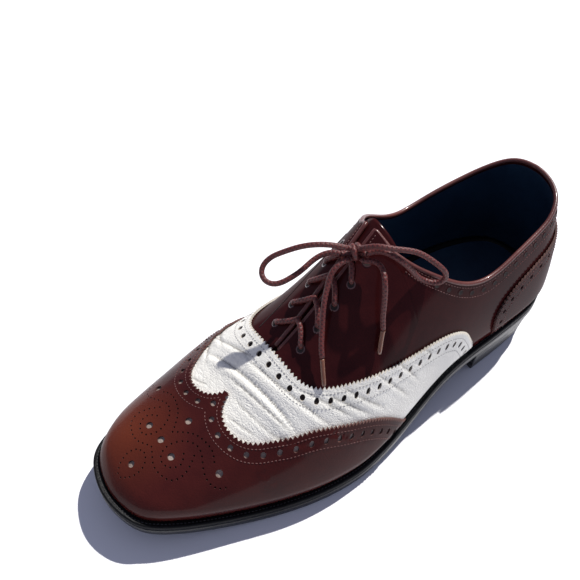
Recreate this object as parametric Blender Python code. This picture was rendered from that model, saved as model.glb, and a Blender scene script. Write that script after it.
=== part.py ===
"""Left spectator shoe: closed-laced, white vamp under a pinked wing cap, low stacked heel.

Metres, +Z up, toe towards -Y, the outer (lateral) side towards +X, standing on z = 0.
The last is worked out from the driving sizes and three short tables, and the upper, its
overlays, the tongue and the sole pieces are all taken from it.
"""

import math

import bmesh
import bpy
import numpy as np
from mathutils import Vector
from mathutils.geometry import delaunay_2d_cdt

# Driving sizes
LENGTH = 0.292
BALL_WIDTH = 0.1125
INSTEP_HEIGHT = 0.106
HEEL_LIFT = 0.0208
TOE_SPRING = 0.0140
MM = 0.001

# Sole pieces
OUTSOLE_THICK = 0.0060
WELT_THICK = 0.0035
WELT_BREADTH = 0.0085
TOP_PIECE_THICK = 0.0060
INSOLE_THICK = 0.0045
INSOLE_INSET = 0.0090
BREAST_ALONG = 0.268
BREAST_CURVE = 0.0030
BREAST_SLOPE = 0.0035
HEEL_TAPER = 0.0022
SEAT_STEP = 0.0006
SOLE_STRIPS = 62
HEEL_STRIPS = 12

# Upper and its overlays
WALL = 0.0020
CLEAR = 0.0003
OVERLAY_CLEAR = 0.0005
OVERLAY_THICK = 0.0011
TUCK = 0.0012
TUCK_HEIGHT = 0.011
CUT_INSIDE = 0.0040
CUT_OUTSIDE = 0.0080
CUT_PAST_WELT = 0.0060
CUT_SPACING = 0.0100

# Tongue
TONGUE_THICK = 0.0018
TONGUE_CLEAR = 0.0006
TONGUE_TIP_ALONG = 0.424
TONGUE_TIP_DROP = 0.0020
TONGUE_COLUMNS = 2

# Facings, eyelets and laces
THROAT_ALONG = 0.652
FACING_TOP_ALONG = 0.436
FACING_GAP_TOP = 0.0036
FACING_GAP_THROAT = 0.0014
EYELET_PAIRS = 5
EYELET_OUT = 0.0105
EYELET_RADIUS = 0.0018
EYELET_FIRST_ALONG = 0.620
EYELET_STEP_ALONG = 0.0365
LACE_RADIUS = 0.0014
LACE_SIDES = 6
LACE_CLEAR = 0.0007
LACE_BEND = 0.0075

# Fans that close the toe and the heel round a centre of their own
TOE_FAN = 0.034
HEEL_FAN = 0.034

# Density of the last's own table, and of the meshes
TABLE_TURNS = 720
TABLE_ANGLES = 121
HEEL_COLUMNS = 6
TOE_COLUMNS = 8
QUARTER_COLUMNS = 8
FACING_COLUMNS = 7
FOREPART_COLUMNS = 7
WALL_ROWS = 10
WELD = 0.00004

# Sole edge: share of LENGTH from the heel, then outer and inner edge as shares of BALL_WIDTH
OUTLINE = (
    # along, lateral, medial
    (0.020, 0.230, -0.125),
    (0.066, 0.346, -0.212),
    (0.155, 0.396, -0.280),
    (0.258, 0.405, -0.305),
    (0.361, 0.415, -0.312),
    (0.480, 0.466, -0.382),
    (0.600, 0.497, -0.460),
    (0.705, 0.457, -0.497),
    (0.800, 0.373, -0.465),
    (0.880, 0.288, -0.415),
    (0.940, 0.212, -0.353),
    (0.975, 0.142, -0.282),
    (0.993, 0.048, -0.186),
)
HEEL_BACK_X = 0.042
TOE_TIP_X = -0.063

# The last over that edge: ridge place and height, welt that shows, and how square its section is
SECTIONS = (
    # along, ridge_x / BALL_WIDTH, ridge_z / INSTEP_HEIGHT, welt shown, side power, top power
    (0.000, -0.005, 1.400, 0.0022, 1.62, 2.00),
    (0.155, -0.060, 1.370, 0.0022, 1.78, 2.02),
    (0.258, -0.110, 1.320, 0.0028, 1.98, 2.10),
    (0.361, -0.115, 1.187, 0.0032, 1.83, 2.05),
    (0.436, -0.080, 1.066, 0.0035, 1.58, 1.90),
    (0.525, -0.048, 0.888, 0.0038, 1.53, 1.88),
    (0.602, -0.034, 0.712, 0.0040, 1.65, 2.02),
    (0.672, -0.028, 0.583, 0.0042, 1.81, 2.20),
    (0.756, -0.035, 0.459, 0.0044, 1.90, 2.38),
    (0.825, -0.050, 0.394, 0.0044, 1.95, 2.50),
    (0.900, -0.072, 0.333, 0.0044, 1.98, 2.60),
    (1.000, -0.100, 0.252, 0.0044, 1.98, 2.60),
)

# Topline height over the floor as a share of INSTEP_HEIGHT
TOPLINE = (
    # along, lateral, medial
    (0.000, 0.945, 0.945),
    (0.063, 0.921, 0.880),
    (0.131, 0.874, 0.821),
    (0.210, 0.824, 0.768),
    (0.283, 0.787, 0.754),
    (0.346, 0.838, 0.840),
    (0.388, 0.912, 0.932),
    (0.420, 0.976, 1.000),
    (0.436, 1.018, 1.028),
)


# Lateral half of the wing cap's edge over the flat leather, from the peak to the welt
WING_EDGE = (
    # out from the ridge in mm, y in mm
    (0.0, -71.3),
    (4.5, -78.5),
    (10.5, -81.9),
    (17.6, -82.2),
    (24.4, -79.3),
    (29.7, -73.6),
    (33.7, -66.9),
    (38.8, -58.5),
    (43.7, -49.5),
    (50.5, -40.3),
    (58.9, -30.7),
    (69.0, -20.5),
    (83.7, -9.4),
    (98.0, -1.0),
    (112.0, 6.9),
)

# Lateral half of the vamp's upper edge, from the throat round its rear end to the welt
VAMP_EDGE = (
    # out from the ridge in mm, y in mm
    (0.0, -45.2),
    (12.5, -45.0),
    (24.8, -42.6),
    (33.6, -35.7),
    (40.9, -27.0),
    (53.9, -10.8),
    (67.5, 7.8),
    (81.6, 27.9),
    (95.4, 43.6),
    (103.5, 49.5),
    (110.5, 52.6),
    (122.2, 56.9),
    (131.0, 58.3),
)

# Lateral half of the heel counter's edge, from the back seam to the welt
COUNTER_EDGE = (
    # turn round the sole edge, height over the welt in mm
    (0.000, 49.0),
    (0.040, 46.8),
    (0.080, 43.8),
    (0.102, 39.3),
    (0.122, 33.2),
    (0.131, 28.0),
    (0.136, 20.5),
    (0.135, 10.0),
    (0.130, 0.0),
)


# The free bow: centre lines of its loops and ends, from the knot outwards, in mm
LOOP_MEDIAL = (
    # x, y, z
    (-4.7, 0.8, 111.0),
    (-9.5, -5.7, 113.0),
    (-17.9, -15.3, 111.2),
    (-24.7, -23.3, 105.9),
    (-28.4, -29.3, 101.0),
    (-27.7, -33.3, 97.7),
    (-24.9, -34.9, 95.5),
    (-21.2, -34.4, 94.5),
    (-17.8, -32.0, 95.0),
    (-15.1, -26.7, 97.3),
    (-14.1, -19.2, 99.9),
    (-13.8, -10.2, 103.4),
    (-10.0, -3.5, 106.0),
    (-6.7, -1.2, 106.4),
)
LOOP_LATERAL = (
    # x, y, z
    (1.1, 5.5, 113.0),
    (7.0, 8.2, 117.3),
    (13.1, 13.2, 117.8),
    (19.9, 23.3, 114.5),
    (25.8, 28.5, 110.2),
    (29.6, 31.6, 106.4),
    (31.2, 33.4, 101.6),
    (30.7, 32.7, 98.2),
    (28.3, 30.5, 96.0),
    (24.6, 26.8, 96.8),
    (21.4, 19.9, 105.3),
    (17.3, 14.9, 112.1),
    (11.1, 11.9, 113.8),
    (5.6, 9.7, 111.8),
    (3.1, 6.5, 110.0),
)
END_LATERAL = (
    # x, y, z
    (3.7, 4.4, 106.9),
    (6.9, 7.2, 107.6),
    (12.9, 7.4, 108.2),
    (18.9, 4.3, 105.8),
    (21.7, 2.7, 100.1),
    (23.8, 1.2, 93.5),
    (25.4, 0.1, 88.2),
    (27.7, -1.0, 82.6),
)
END_MEDIAL = (
    # x, y, z
    (-2.2, 0.2, 105.8),
    (-3.1, -4.7, 104.6),
    (-2.6, -10.1, 101.5),
    (-0.8, -13.4, 98.0),
    (4.1, -19.5, 92.0),
    (10.7, -25.4, 83.0),
    (15.1, -29.0, 78.5),
    (18.9, -31.4, 74.0),
)
AGLET_LATERAL = ((27.9, -1.1, 82.0), (30.2, -3.7, 77.0), (32.7, -6.3, 71.8))
AGLET_MEDIAL = ((19.3, -31.6, 73.6), (23.1, -33.8, 69.0), (27.1, -36.0, 63.5))
KNOT_CENTRE = (-2.3, 4.4, 108.2)
KNOT_RADII = (4.6, 4.2, 3.6)
KNOT_SIDES = 12
KNOT_RINGS = 5
KNOT_TILT = 60.0
AGLET_RADIUS = 0.0012
BOW_STEP = 6.0


def spline(knots, values, closed=False):
    """A cubic through the values with even curvature; closed curves repeat after the last knot."""
    knots = np.asarray(knots, float)
    values = np.asarray(values, float)
    count = len(knots)
    step = np.diff(knots)
    system = np.zeros((count, count))
    right = np.zeros((count,) + values.shape[1:])
    slope = (np.diff(values, axis=0).T / step).T
    for i in range(1, count - 1):
        system[i, i - 1] = step[i]
        system[i, i] = 2 * (step[i - 1] + step[i])
        system[i, i + 1] = step[i - 1]
        right[i] = 3 * (step[i] * slope[i - 1] + step[i - 1] * slope[i])
    if closed:
        system[0, 0] = 1
        system[0, -1] = -1
        system[-1, 0] = 2 * step[-1]
        system[-1, 1] = step[-1]
        system[-1, -1] = 2 * step[0]
        system[-1, -2] = step[0]
        right[-1] = 3 * (step[-1] * slope[0] + step[0] * slope[-1])
    else:
        system[0, 0] = 2
        system[0, 1] = 1
        right[0] = 3 * slope[0]
        system[-1, -1] = 2
        system[-1, -2] = 1
        right[-1] = 3 * slope[-1]
    tangent = np.linalg.solve(system, right)

    def at(t):
        t = np.asarray(t, float)
        if closed:
            t = (t - knots[0]) % (knots[-1] - knots[0]) + knots[0]
        k = np.clip(np.searchsorted(knots, t, side="right") - 1, 0, count - 2)
        h = step[k]
        s = (t - knots[k]) / h
        shape = s.shape + (1,) * (values.ndim - 1)
        s = s.reshape(shape)
        h = h.reshape(shape)
        return (
            (2 * s**3 - 3 * s**2 + 1) * values[k]
            + (s**3 - 2 * s**2 + s) * h * tangent[k]
            + (3 * s**2 - 2 * s**3) * values[k + 1]
            + (s**3 - s**2) * h * tangent[k + 1]
        )

    return at


def y_at(along):
    return LENGTH * (0.5 - np.asarray(along, float))


def along_of(y):
    return 0.5 - np.asarray(y, float) / LENGTH


def make_outline():
    """Sole edge as a closed curve of turn: 0 heel back, lateral side, 0.5 toe tip, medial side."""
    along, lateral, medial = np.array(OUTLINE).T
    heel = [[HEEL_BACK_X * BALL_WIDTH, y_at(0.0)]]
    toe = [[TOE_TIP_X * BALL_WIDTH, y_at(1.0)]]
    outer = np.column_stack([lateral * BALL_WIDTH, y_at(along)])
    inner = np.column_stack([medial * BALL_WIDTH, y_at(along)])
    lateral_side = np.vstack([heel, outer, toe])
    medial_side = np.vstack([toe, inner[::-1], heel])
    halves = []
    for start, side in ((0.0, lateral_side), (0.5, medial_side)):
        run = np.r_[0, np.cumsum(np.linalg.norm(np.diff(side, axis=0), axis=1))]
        halves.append(start + 0.5 * run / run[-1])
    knots = np.r_[halves[0], halves[1][1:]]
    return spline(knots, np.vstack([lateral_side, medial_side[1:]]), closed=True)


outline = make_outline()
section = spline([row[0] for row in SECTIONS], [row[1:] for row in SECTIONS])
topline = spline([row[0] for row in TOPLINE], [row[1:] for row in TOPLINE])


def edge_with_inset(turn, inset):
    """Sole edge moved inwards."""
    turn = np.asarray(turn, float)
    ahead = outline(turn + 1e-4) - outline(turn - 1e-4)
    ahead /= np.linalg.norm(ahead, axis=-1, keepdims=True)
    inwards = np.stack([ahead[..., 1], -ahead[..., 0]], axis=-1)
    return outline(turn) + inwards * (np.zeros(turn.shape) + inset)[..., None]


def underside(y):
    """Height of the outsole's lower face: flat under the ball, sprung toe, raised waist and heel."""
    along = along_of(y)
    spring = np.clip((along - 0.750) / 0.250, 0, 1)
    rise = np.clip((0.603 - along) / (0.603 - BREAST_ALONG), 0, 1)
    return TOE_SPRING * spring**1.8 + HEEL_LIFT * rise**1.5 * (2.5 - 1.5 * rise)


def feather(y):
    """Top of the welt, where the upper stands."""
    return underside(y) + OUTSOLE_THICK + WELT_THICK + CLEAR


class Last:
    """The last's surface as a table over turn (round the edge) and angle (0 welt, 90 degrees ridge)."""

    def __init__(self):
        self.turns = np.arange(TABLE_TURNS) / TABLE_TURNS
        self.angles = np.linspace(0, math.pi / 2, TABLE_ANGLES)
        shown = section(along_of(outline(self.turns)[:, 1]))[:, 2]
        widest = edge_with_inset(self.turns, shown - TUCK)
        middle = np.clip(widest[:, 1], y_at(1.0) + TOE_FAN, y_at(0.0) - HEEL_FAN)
        self.centre = np.column_stack([section(along_of(middle))[:, 0] * BALL_WIDTH, middle])
        self.widest = widest
        powers = section(along_of(widest[:, 1]))[:, 3:]
        out = (np.cos(self.angles) ** 2)[None] ** (1 / powers[:, 1:2])
        up = (np.sin(self.angles) ** 2)[None] ** (1 / powers[:, 0:1])
        across = widest - self.centre
        plan = self.centre[:, None] + out[..., None] * across[:, None]
        self.foot = feather(widest[:, 1])
        ridge = section(along_of(plan[..., 1]))[..., 1] * INSTEP_HEIGHT
        height = self.foot[:, None] + (ridge - self.foot[:, None]) * up
        self.reach = out * np.linalg.norm(across, axis=1)[:, None]
        tuck = TUCK * np.clip(1 - (height - self.foot[:, None]) / TUCK_HEIGHT, 0, 1) ** 2
        inwards = -across / np.linalg.norm(across, axis=1, keepdims=True)
        plan = plan + tuck[..., None] * inwards[:, None]
        self.place = np.concatenate([plan, height[..., None]], axis=2)
        self.normal = self.make_normals()
        self.top = np.array([self.top_angle(k) for k in range(TABLE_TURNS)])

    def make_normals(self):
        round_edge = np.roll(self.place, -1, axis=0) - np.roll(self.place, 1, axis=0)
        upwards = np.gradient(self.place, axis=1)
        normal = np.cross(upwards, round_edge)
        slope = 1e-3
        ridge_y = self.centre[:, 1]
        rise = section(along_of(ridge_y + slope))[:, 1] - section(along_of(ridge_y - slope))[:, 1]
        normal[:, -1, 0] = 0
        normal[:, -1, 1] = -rise * INSTEP_HEIGHT / (2 * slope)
        normal[:, -1, 2] = 1
        return normal / np.linalg.norm(normal, axis=2, keepdims=True)

    def top_angle(self, k):
        """Where the wall ends: the topline, the edge of a facing, or the ridge."""
        along = float(along_of(self.widest[k, 1]))
        if along < FACING_TOP_ALONG - 1e-6:
            side = 1 if self.turns[k] > 0.5 else 0
            height = topline(along)[side] * INSTEP_HEIGHT
            return float(np.interp(height, self.place[k, :, 2], self.angles))
        if along < THROAT_ALONG:
            share = (along - FACING_TOP_ALONG) / (THROAT_ALONG - FACING_TOP_ALONG)
            gap = FACING_GAP_TOP + share * (FACING_GAP_THROAT - FACING_GAP_TOP)
            return float(np.interp(-gap, -self.reach[k], self.angles))
        return math.pi / 2

    def turn_at(self, along, medial):
        """The turn whose plane crosses the last at this share of its length."""
        half = slice(TABLE_TURNS // 2, None) if medial else slice(0, TABLE_TURNS // 2)
        shares = along_of(self.widest[half, 1])
        order = np.argsort(shares)
        return np.interp(along, shares[order], self.turns[half][order])

    def at(self, turn, angle, offset=0.0):
        """Points of the surface, moved out along its normals by the offset."""
        turn = np.asarray(turn, float) % 1.0 * TABLE_TURNS
        row = np.asarray(angle, float) / (math.pi / 2) * (TABLE_ANGLES - 1)
        k = np.floor(turn).astype(int)
        j = np.clip(np.floor(row).astype(int), 0, TABLE_ANGLES - 2)
        a = (turn - k)[..., None]
        b = (row - j)[..., None]
        k0 = k % TABLE_TURNS
        k1 = (k + 1) % TABLE_TURNS

        def mixed(table):
            low = table[k0, j] * (1 - a) + table[k1, j] * a
            high = table[k0, j + 1] * (1 - a) + table[k1, j + 1] * a
            return low * (1 - b) + high * b

        normal = mixed(self.normal)
        normal /= np.linalg.norm(normal, axis=-1, keepdims=True)
        return mixed(self.place) + normal * (np.zeros(turn.shape) + offset)[..., None]

    def top_at(self, turn):
        turn = np.asarray(turn, float) % 1.0 * TABLE_TURNS
        k = np.floor(turn).astype(int)
        a = turn - k
        return self.top[k % TABLE_TURNS] * (1 - a) + self.top[(k + 1) % TABLE_TURNS] * a

    def flat(self, spot, offset=0.0):
        """Points for (x, y) spots on the upper rolled out flat to both sides of the ridge.

        The second number is the place along the ridge, and the first the way over the leather
        from it, out to the lateral side. Past the toe fan's centre the spots fan round it.
        Spots beyond the welt hang straight down from the foot of the wall.
        """
        spot = np.asarray(spot, float)
        centre_y = np.clip(spot[:, 1], y_at(1.0) + TOE_FAN, y_at(0.0) - HEEL_FAN)
        away = np.hypot(spot[:, 0], spot[:, 1] - centre_y)
        bearing = np.arctan2(spot[:, 0], centre_y - spot[:, 1])
        across = self.widest - self.centre
        fan = self.widest[:, 1] < y_at(1.0) + TOE_FAN
        fan_bearing = np.arctan2(across[fan, 0], -across[fan, 1])
        order = np.argsort(fan_bearing)
        in_fan = np.interp(bearing, fan_bearing[order], self.turns[fan][order])
        along = along_of(spot[:, 1])
        straight = np.where(spot[:, 0] < 0, self.turn_at(along, True), self.turn_at(along, False))
        turn = np.where(spot[:, 1] < y_at(1.0) + TOE_FAN, in_fan, straight)
        return self.down_from_ridge(turn, away, offset)

    def down_from_ridge(self, turn, away, offset=0.0):
        """Points at these ways over the leather from the ridge, in the planes of these turns."""
        steps = np.linalg.norm(np.diff(self.place, axis=1), axis=2)
        run = np.concatenate([np.zeros((TABLE_TURNS, 1)), np.cumsum(steps[:, ::-1], axis=1)], axis=1)
        nearest = np.round(turn * TABLE_TURNS).astype(int) % TABLE_TURNS
        angle = np.array([np.interp(w, run[k], self.angles[::-1]) for w, k in zip(away, nearest)])
        point = self.at(turn, angle, offset)
        point[:, 2] -= np.maximum(away - run[nearest, -1], 0)
        return point

    def spot_of(self, turn, past=0.0):
        """Flat spots this far past the foot of the wall."""
        k = np.round(np.asarray(turn) * TABLE_TURNS).astype(int) % TABLE_TURNS
        steps = np.linalg.norm(np.diff(self.place[k], axis=1), axis=2)
        away = steps.sum(axis=1) + past
        across = self.widest[k] - self.centre[k]
        across /= np.linalg.norm(across, axis=1, keepdims=True)
        return np.column_stack([across[:, 0] * away, self.centre[k, 1] + across[:, 1] * away])

    def wall(self, spot, offset=0.0):
        """Points for (turn, height over the welt) spots on the standing walls."""
        spot = np.asarray(spot, float)
        nearest = np.round(spot[:, 0] * TABLE_TURNS).astype(int) % TABLE_TURNS
        height = self.foot[nearest] + spot[:, 1]
        angle = [np.interp(h, self.place[k, :, 2], self.angles) for h, k in zip(height, nearest)]
        point = self.at(spot[:, 0], np.array(angle), offset)
        point[:, 2] += np.minimum(spot[:, 1], 0)
        return point


last = Last()


# Meshes of the pieces


def leather(name, colour, roughness, coat=0.0):
    material = bpy.data.materials.new(name)
    material.use_nodes = True
    shader = material.node_tree.nodes["Principled BSDF"]
    shader.inputs["Base Color"].default_value = (*colour, 1)
    shader.inputs["Roughness"].default_value = roughness
    shader.inputs["Coat Weight"].default_value = coat
    return material


def clear_scene():
    for thing in list(bpy.data.objects):
        bpy.data.objects.remove(thing)


def add_piece(name, points, faces, material):
    """One closed body from points and faces, welded, with its faces pointing out."""
    mesh = bpy.data.meshes.new(name)
    mesh.from_pydata([tuple(p) for p in points], [], [tuple(f) for f in faces])
    body = bmesh.new()
    body.from_mesh(mesh)
    bmesh.ops.remove_doubles(body, verts=body.verts, dist=WELD)
    loose = [v for v in body.verts if not v.link_faces]
    bmesh.ops.delete(body, geom=loose, context="VERTS")
    bmesh.ops.recalc_face_normals(body, faces=body.faces)
    body.to_mesh(mesh)
    body.free()
    if material:
        mesh.materials.append(material)
    thing = bpy.data.objects.new(name, mesh)
    bpy.context.collection.objects.link(thing)
    return thing


def cut(thing, tool, operation):
    modifier = thing.modifiers.new(tool.name, "BOOLEAN")
    modifier.operation = operation
    modifier.object = tool
    tool.hide_render = True
    tool.display_type = "WIRE"


def grid_faces(rows, columns, start=0, flip=False, ring=False):
    """Quads of a grid of points laid out row by row."""
    faces = []
    for i in range(rows if ring else rows - 1):
        for j in range(columns - 1):
            a = start + i * columns + j
            b = start + (i + 1) % rows * columns + j
            quad = (a, a + 1, b + 1, b)
            faces.append(quad[::-1] if flip else quad)
    return faces


def sole_edge(inset):
    """The sole edge moved inwards, as a closed line that starts at the heel."""
    return edge_with_inset(np.arange(TABLE_TURNS) / TABLE_TURNS, inset)


def sides_at(edge, y):
    """Where a closed line crosses these places along the shoe: (medial x, lateral x)."""
    tip = int(np.argmin(edge[:, 1]))
    back = int(np.argmax(edge[:, 1]))
    order = (back + np.arange(len(edge) + 1)) % len(edge)
    split = (tip - back) % len(edge)
    lateral = edge[order[: split + 1]]
    medial = edge[order[split:]]
    outer = np.interp(-y, -lateral[:, 1], lateral[:, 0])
    inner = np.interp(y, medial[:, 1], medial[:, 0])
    return inner, outer


def plate(name, low_edge, high_edge, low, high, strips, material, front=None):
    """A plate between two closed lines, as strips straight across; a front cuts it square."""
    shares = (1 - np.cos(np.linspace(0, math.pi if front is None else math.pi / 2, strips))) / 2
    shares /= shares[-1]
    across = np.linspace(0, 1, 2 if front is None else 7)
    layers = []
    for edge, height, end in ((low_edge, low, 0), (high_edge, high, 1)):
        back = edge[:, 1].max()
        stop = edge[:, 1].min() if front is None else front[end]
        y = back + shares * (stop - back)
        inner, outer = sides_at(edge, y)
        x = inner[:, None] + (outer - inner)[:, None] * across
        place_y = np.repeat(y[:, None], len(across), axis=1)
        if front is not None:
            place_y[-1] += BREAST_CURVE * (1 - (2 * across - 1) ** 2)
        layers.append(np.stack([x, place_y, height(place_y)], axis=2))
    count, width = layers[0].shape[:2]
    total = count * width
    faces = grid_faces(count, width) + grid_faces(count, width, total, flip=True)
    rim = [i * width for i in range(count)]
    rim += [(count - 1) * width + j for j in range(1, width)]
    rim += [i * width + width - 1 for i in range(count - 2, -1, -1)]
    rim += [j for j in range(width - 2, 0, -1)]
    faces += [(a, b, b + total, a + total) for a, b in zip(rim, rim[1:] + rim[:1])]
    points = np.concatenate([layer.reshape(-1, 3) for layer in layers])
    return add_piece(name, points, faces, material)


def make_soles(black, lining):
    turns = columns()
    outer = edge_with_inset(turns, 0.0)
    inner = edge_with_inset(turns, WELT_BREADTH)
    top = OUTSOLE_THICK + WELT_THICK
    plate("outsole", sole_edge(0.0), sole_edge(0.0), underside, lambda y: underside(y) + OUTSOLE_THICK,
          SOLE_STRIPS, black)
    corners = []
    for edge in (outer, inner):
        base = underside(edge[:, 1])
        corners.append(np.column_stack([edge, base + OUTSOLE_THICK + CLEAR]))
        corners.append(np.column_stack([edge, base + top]))
    order = (0, 1, 3, 2, 0)
    points = np.stack([corners[k] for k in order], axis=1).reshape(-1, 3)
    add_piece("welt", points, grid_faces(len(turns), len(order), ring=True), black)
    insole_edge = sole_edge(INSOLE_INSET)
    floor = OUTSOLE_THICK + CLEAR
    plate("insole", insole_edge, insole_edge, lambda y: underside(y) + floor,
          lambda y: underside(y) + floor + INSOLE_THICK, SOLE_STRIPS, lining)
    seat = sole_edge(SEAT_STEP)
    mid = sole_edge(SEAT_STEP + HEEL_TAPER * 0.7)
    ground = sole_edge(SEAT_STEP + HEEL_TAPER)
    breast = y_at(BREAST_ALONG)
    split = TOP_PIECE_THICK
    at_split = breast + BREAST_SLOPE * 0.7
    plate("heel_stack", mid, seat, lambda y: split + CLEAR + 0 * y, lambda y: underside(y) - CLEAR,
          HEEL_STRIPS, black, front=(at_split, breast))
    plate("heel_top_piece", ground, mid, lambda y: 0 * y, lambda y: split + 0 * y,
          HEEL_STRIPS, black, front=(breast + BREAST_SLOPE, at_split))


def planes():
    """Places along the shoe where both sides have a mesh column."""
    back = along_of(y_at(0.0) - HEEL_FAN)
    front = along_of(y_at(1.0) + TOE_FAN)
    return np.concatenate([
        np.linspace(back, FACING_TOP_ALONG, QUARTER_COLUMNS, endpoint=False),
        np.linspace(FACING_TOP_ALONG, THROAT_ALONG, FACING_COLUMNS, endpoint=False),
        np.linspace(THROAT_ALONG, front, FOREPART_COLUMNS + 1),
    ])


def columns():
    """Turns of the mesh columns: the shared planes on both sides, and a fan at each end."""
    lateral = last.turn_at(planes(), False)
    medial = last.turn_at(planes(), True)
    heel = np.linspace(0, lateral[0], HEEL_COLUMNS, endpoint=False)
    toe = np.linspace(lateral[-1], medial[-1], 2 * TOE_COLUMNS + 1)[1:-1]
    heel_in = np.linspace(medial[0], 1, HEEL_COLUMNS, endpoint=False)[1:]
    return np.concatenate([heel, lateral, toe, medial[::-1], heel_in])


def shell(name, inner, outer, material):
    """The upper's own form as a closed wall between two distances from the last."""
    turns = columns()
    tops = np.array([exact_top(turn) for turn in turns])
    shares = np.linspace(0, 1, WALL_ROWS + 1)
    angle = tops[:, None] * shares
    turn = np.repeat(turns[:, None], len(shares), axis=1)
    layers = []
    for offset in (outer, inner):
        layer = last.at(turn, angle, offset)
        layer[:, 0, 2] = feather(layer[:, 0, 1])
        layers.append(layer.reshape(-1, 3))
    count, rows = turn.shape
    total = count * rows
    faces = grid_faces(count, rows, ring=True) + grid_faces(count, rows, total, flip=True, ring=True)
    open_top = tops < math.pi / 2 - 1e-9
    for i in range(count):
        k = (i + 1) % count
        a, b = i * rows, k * rows
        faces.append((a, b, b + total, a + total))
        if open_top[i] or open_top[k]:
            a, b = a + rows - 1, b + rows - 1
            faces.append((a, a + total, b + total, b))
    return add_piece(name, np.concatenate(layers), faces, material)


def exact_top(turn):
    """The wall's end at one column; the throat and the facings' top lie on columns of their own."""
    along = float(along_of(np.interp(turn, last.turns, last.widest[:, 1])))
    if along > THROAT_ALONG - 1e-4:
        return math.pi / 2
    return float(last.top_at(turn))


def smooth_line(table, spacing):
    """A table of points made into a smooth line with even steps."""
    points = np.array(table, float)
    run = np.r_[0, np.cumsum(np.linalg.norm(np.diff(points, axis=0), axis=1))]
    count = int(math.ceil(run[-1] / spacing)) + 1
    return spline(run, points)(np.linspace(0, run[-1], count))


def forepart_region(edge_table):
    """Everything in front of an edge, on the flat leather, as a closed line past the welt."""
    half = smooth_line(edge_table, 6.0) * MM
    mirrored = half[:0:-1] * (-1, 1)
    along = float(along_of(half[-1, 1]))
    ends = float(last.turn_at(along, False)), float(last.turn_at(along, True))
    border = last.spot_of(np.linspace(ends[0], ends[1], 60), CUT_PAST_WELT)
    return np.concatenate([mirrored, half, border])


def counter_region():
    """The heel counter's outline over turn and height, past the welt at its foot."""
    girth = LENGTH * 2.4
    table = np.array(COUNTER_EDGE) * (girth / MM, 1)
    half = smooth_line(table, 6.0) * MM
    mirrored = half[:0:-1] * (-1, 1)
    foot_x = np.linspace(half[-1, 0], -half[-1, 0], 30)
    foot = np.column_stack([foot_x, np.full(30, -CUT_PAST_WELT)])
    return np.concatenate([mirrored, half, foot]), girth


def inside(points, polygon):
    """Which points lie inside a polygon."""
    result = np.zeros(len(points), bool)
    for a, b in zip(polygon, np.roll(polygon, -1, axis=0)):
        spans = (a[1] > points[:, 1]) != (b[1] > points[:, 1])
        rise = b[1] - a[1] if b[1] != a[1] else 1.0
        crossing = a[0] + (points[:, 1] - a[1]) * (b[0] - a[0]) / rise
        result ^= spans & (points[:, 0] < crossing)
    return result


def thick_patch(name, region, surface):
    """A closed form over a flat region, as thick as the cutter has to be on both sides."""
    low = region.min(axis=0)
    high = region.max(axis=0)
    grid = np.stack(np.meshgrid(
        np.arange(low[0], high[0], CUT_SPACING),
        np.arange(low[1], high[1], CUT_SPACING),
    ), axis=-1).reshape(-1, 2)
    nearest = np.min(np.linalg.norm(grid[:, None] - region[None], axis=2), axis=1)
    grid = grid[inside(grid, region) & (nearest > CUT_SPACING / 2)]
    corners = [Vector(p) for p in np.concatenate([region, grid]) / CUT_SPACING]
    count = len(region)
    rim = [(i, (i + 1) % count) for i in range(count)]
    spots, _, faces, *_ = delaunay_2d_cdt(corners, rim, [], 1, 1e-6)
    spots = np.array([tuple(p) for p in spots]) * CUT_SPACING
    total = len(spots)
    edges = {}
    for face in faces:
        for a, b in zip(face, list(face[1:]) + [face[0]]):
            edges[(a, b)] = True
    sides = [(a, b, b + total, a + total) for a, b in edges if (b, a) not in edges]
    closed = [tuple(face) for face in faces] + [tuple(i + total for i in reversed(face)) for face in faces]
    points = np.concatenate([surface(spots, CUT_OUTSIDE), surface(spots, -CUT_INSIDE)])
    return add_piece(name, points, closed + sides, None)


def tube(name, path, radius, sides, material):
    """A round cord along a path, closed at both ends."""
    path = np.array(path, float)
    ahead = np.gradient(path, axis=0)
    ahead /= np.linalg.norm(ahead, axis=1, keepdims=True)
    side = np.cross(ahead[0], (0.3, 0.2, 1.0))
    rings = []
    for point, forward in zip(path, ahead):
        side = side - forward * np.dot(side, forward)
        side /= np.linalg.norm(side)
        up = np.cross(forward, side)
        turn = np.arange(sides) / sides * 2 * math.pi
        rings.append(point + radius * (np.cos(turn)[:, None] * side + np.sin(turn)[:, None] * up))
    faces = []
    for i in range(len(path) - 1):
        for j in range(sides):
            k = (j + 1) % sides
            faces.append((i * sides + j, i * sides + k, (i + 1) * sides + k, (i + 1) * sides + j))
    faces.append(tuple(range(sides)))
    faces.append(tuple((len(path) - 1) * sides + j for j in range(sides)))
    return add_piece(name, np.concatenate(rings), faces, material)


def eyelet_y(pair):
    return float(y_at(EYELET_FIRST_ALONG - EYELET_STEP_ALONG * pair))


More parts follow.
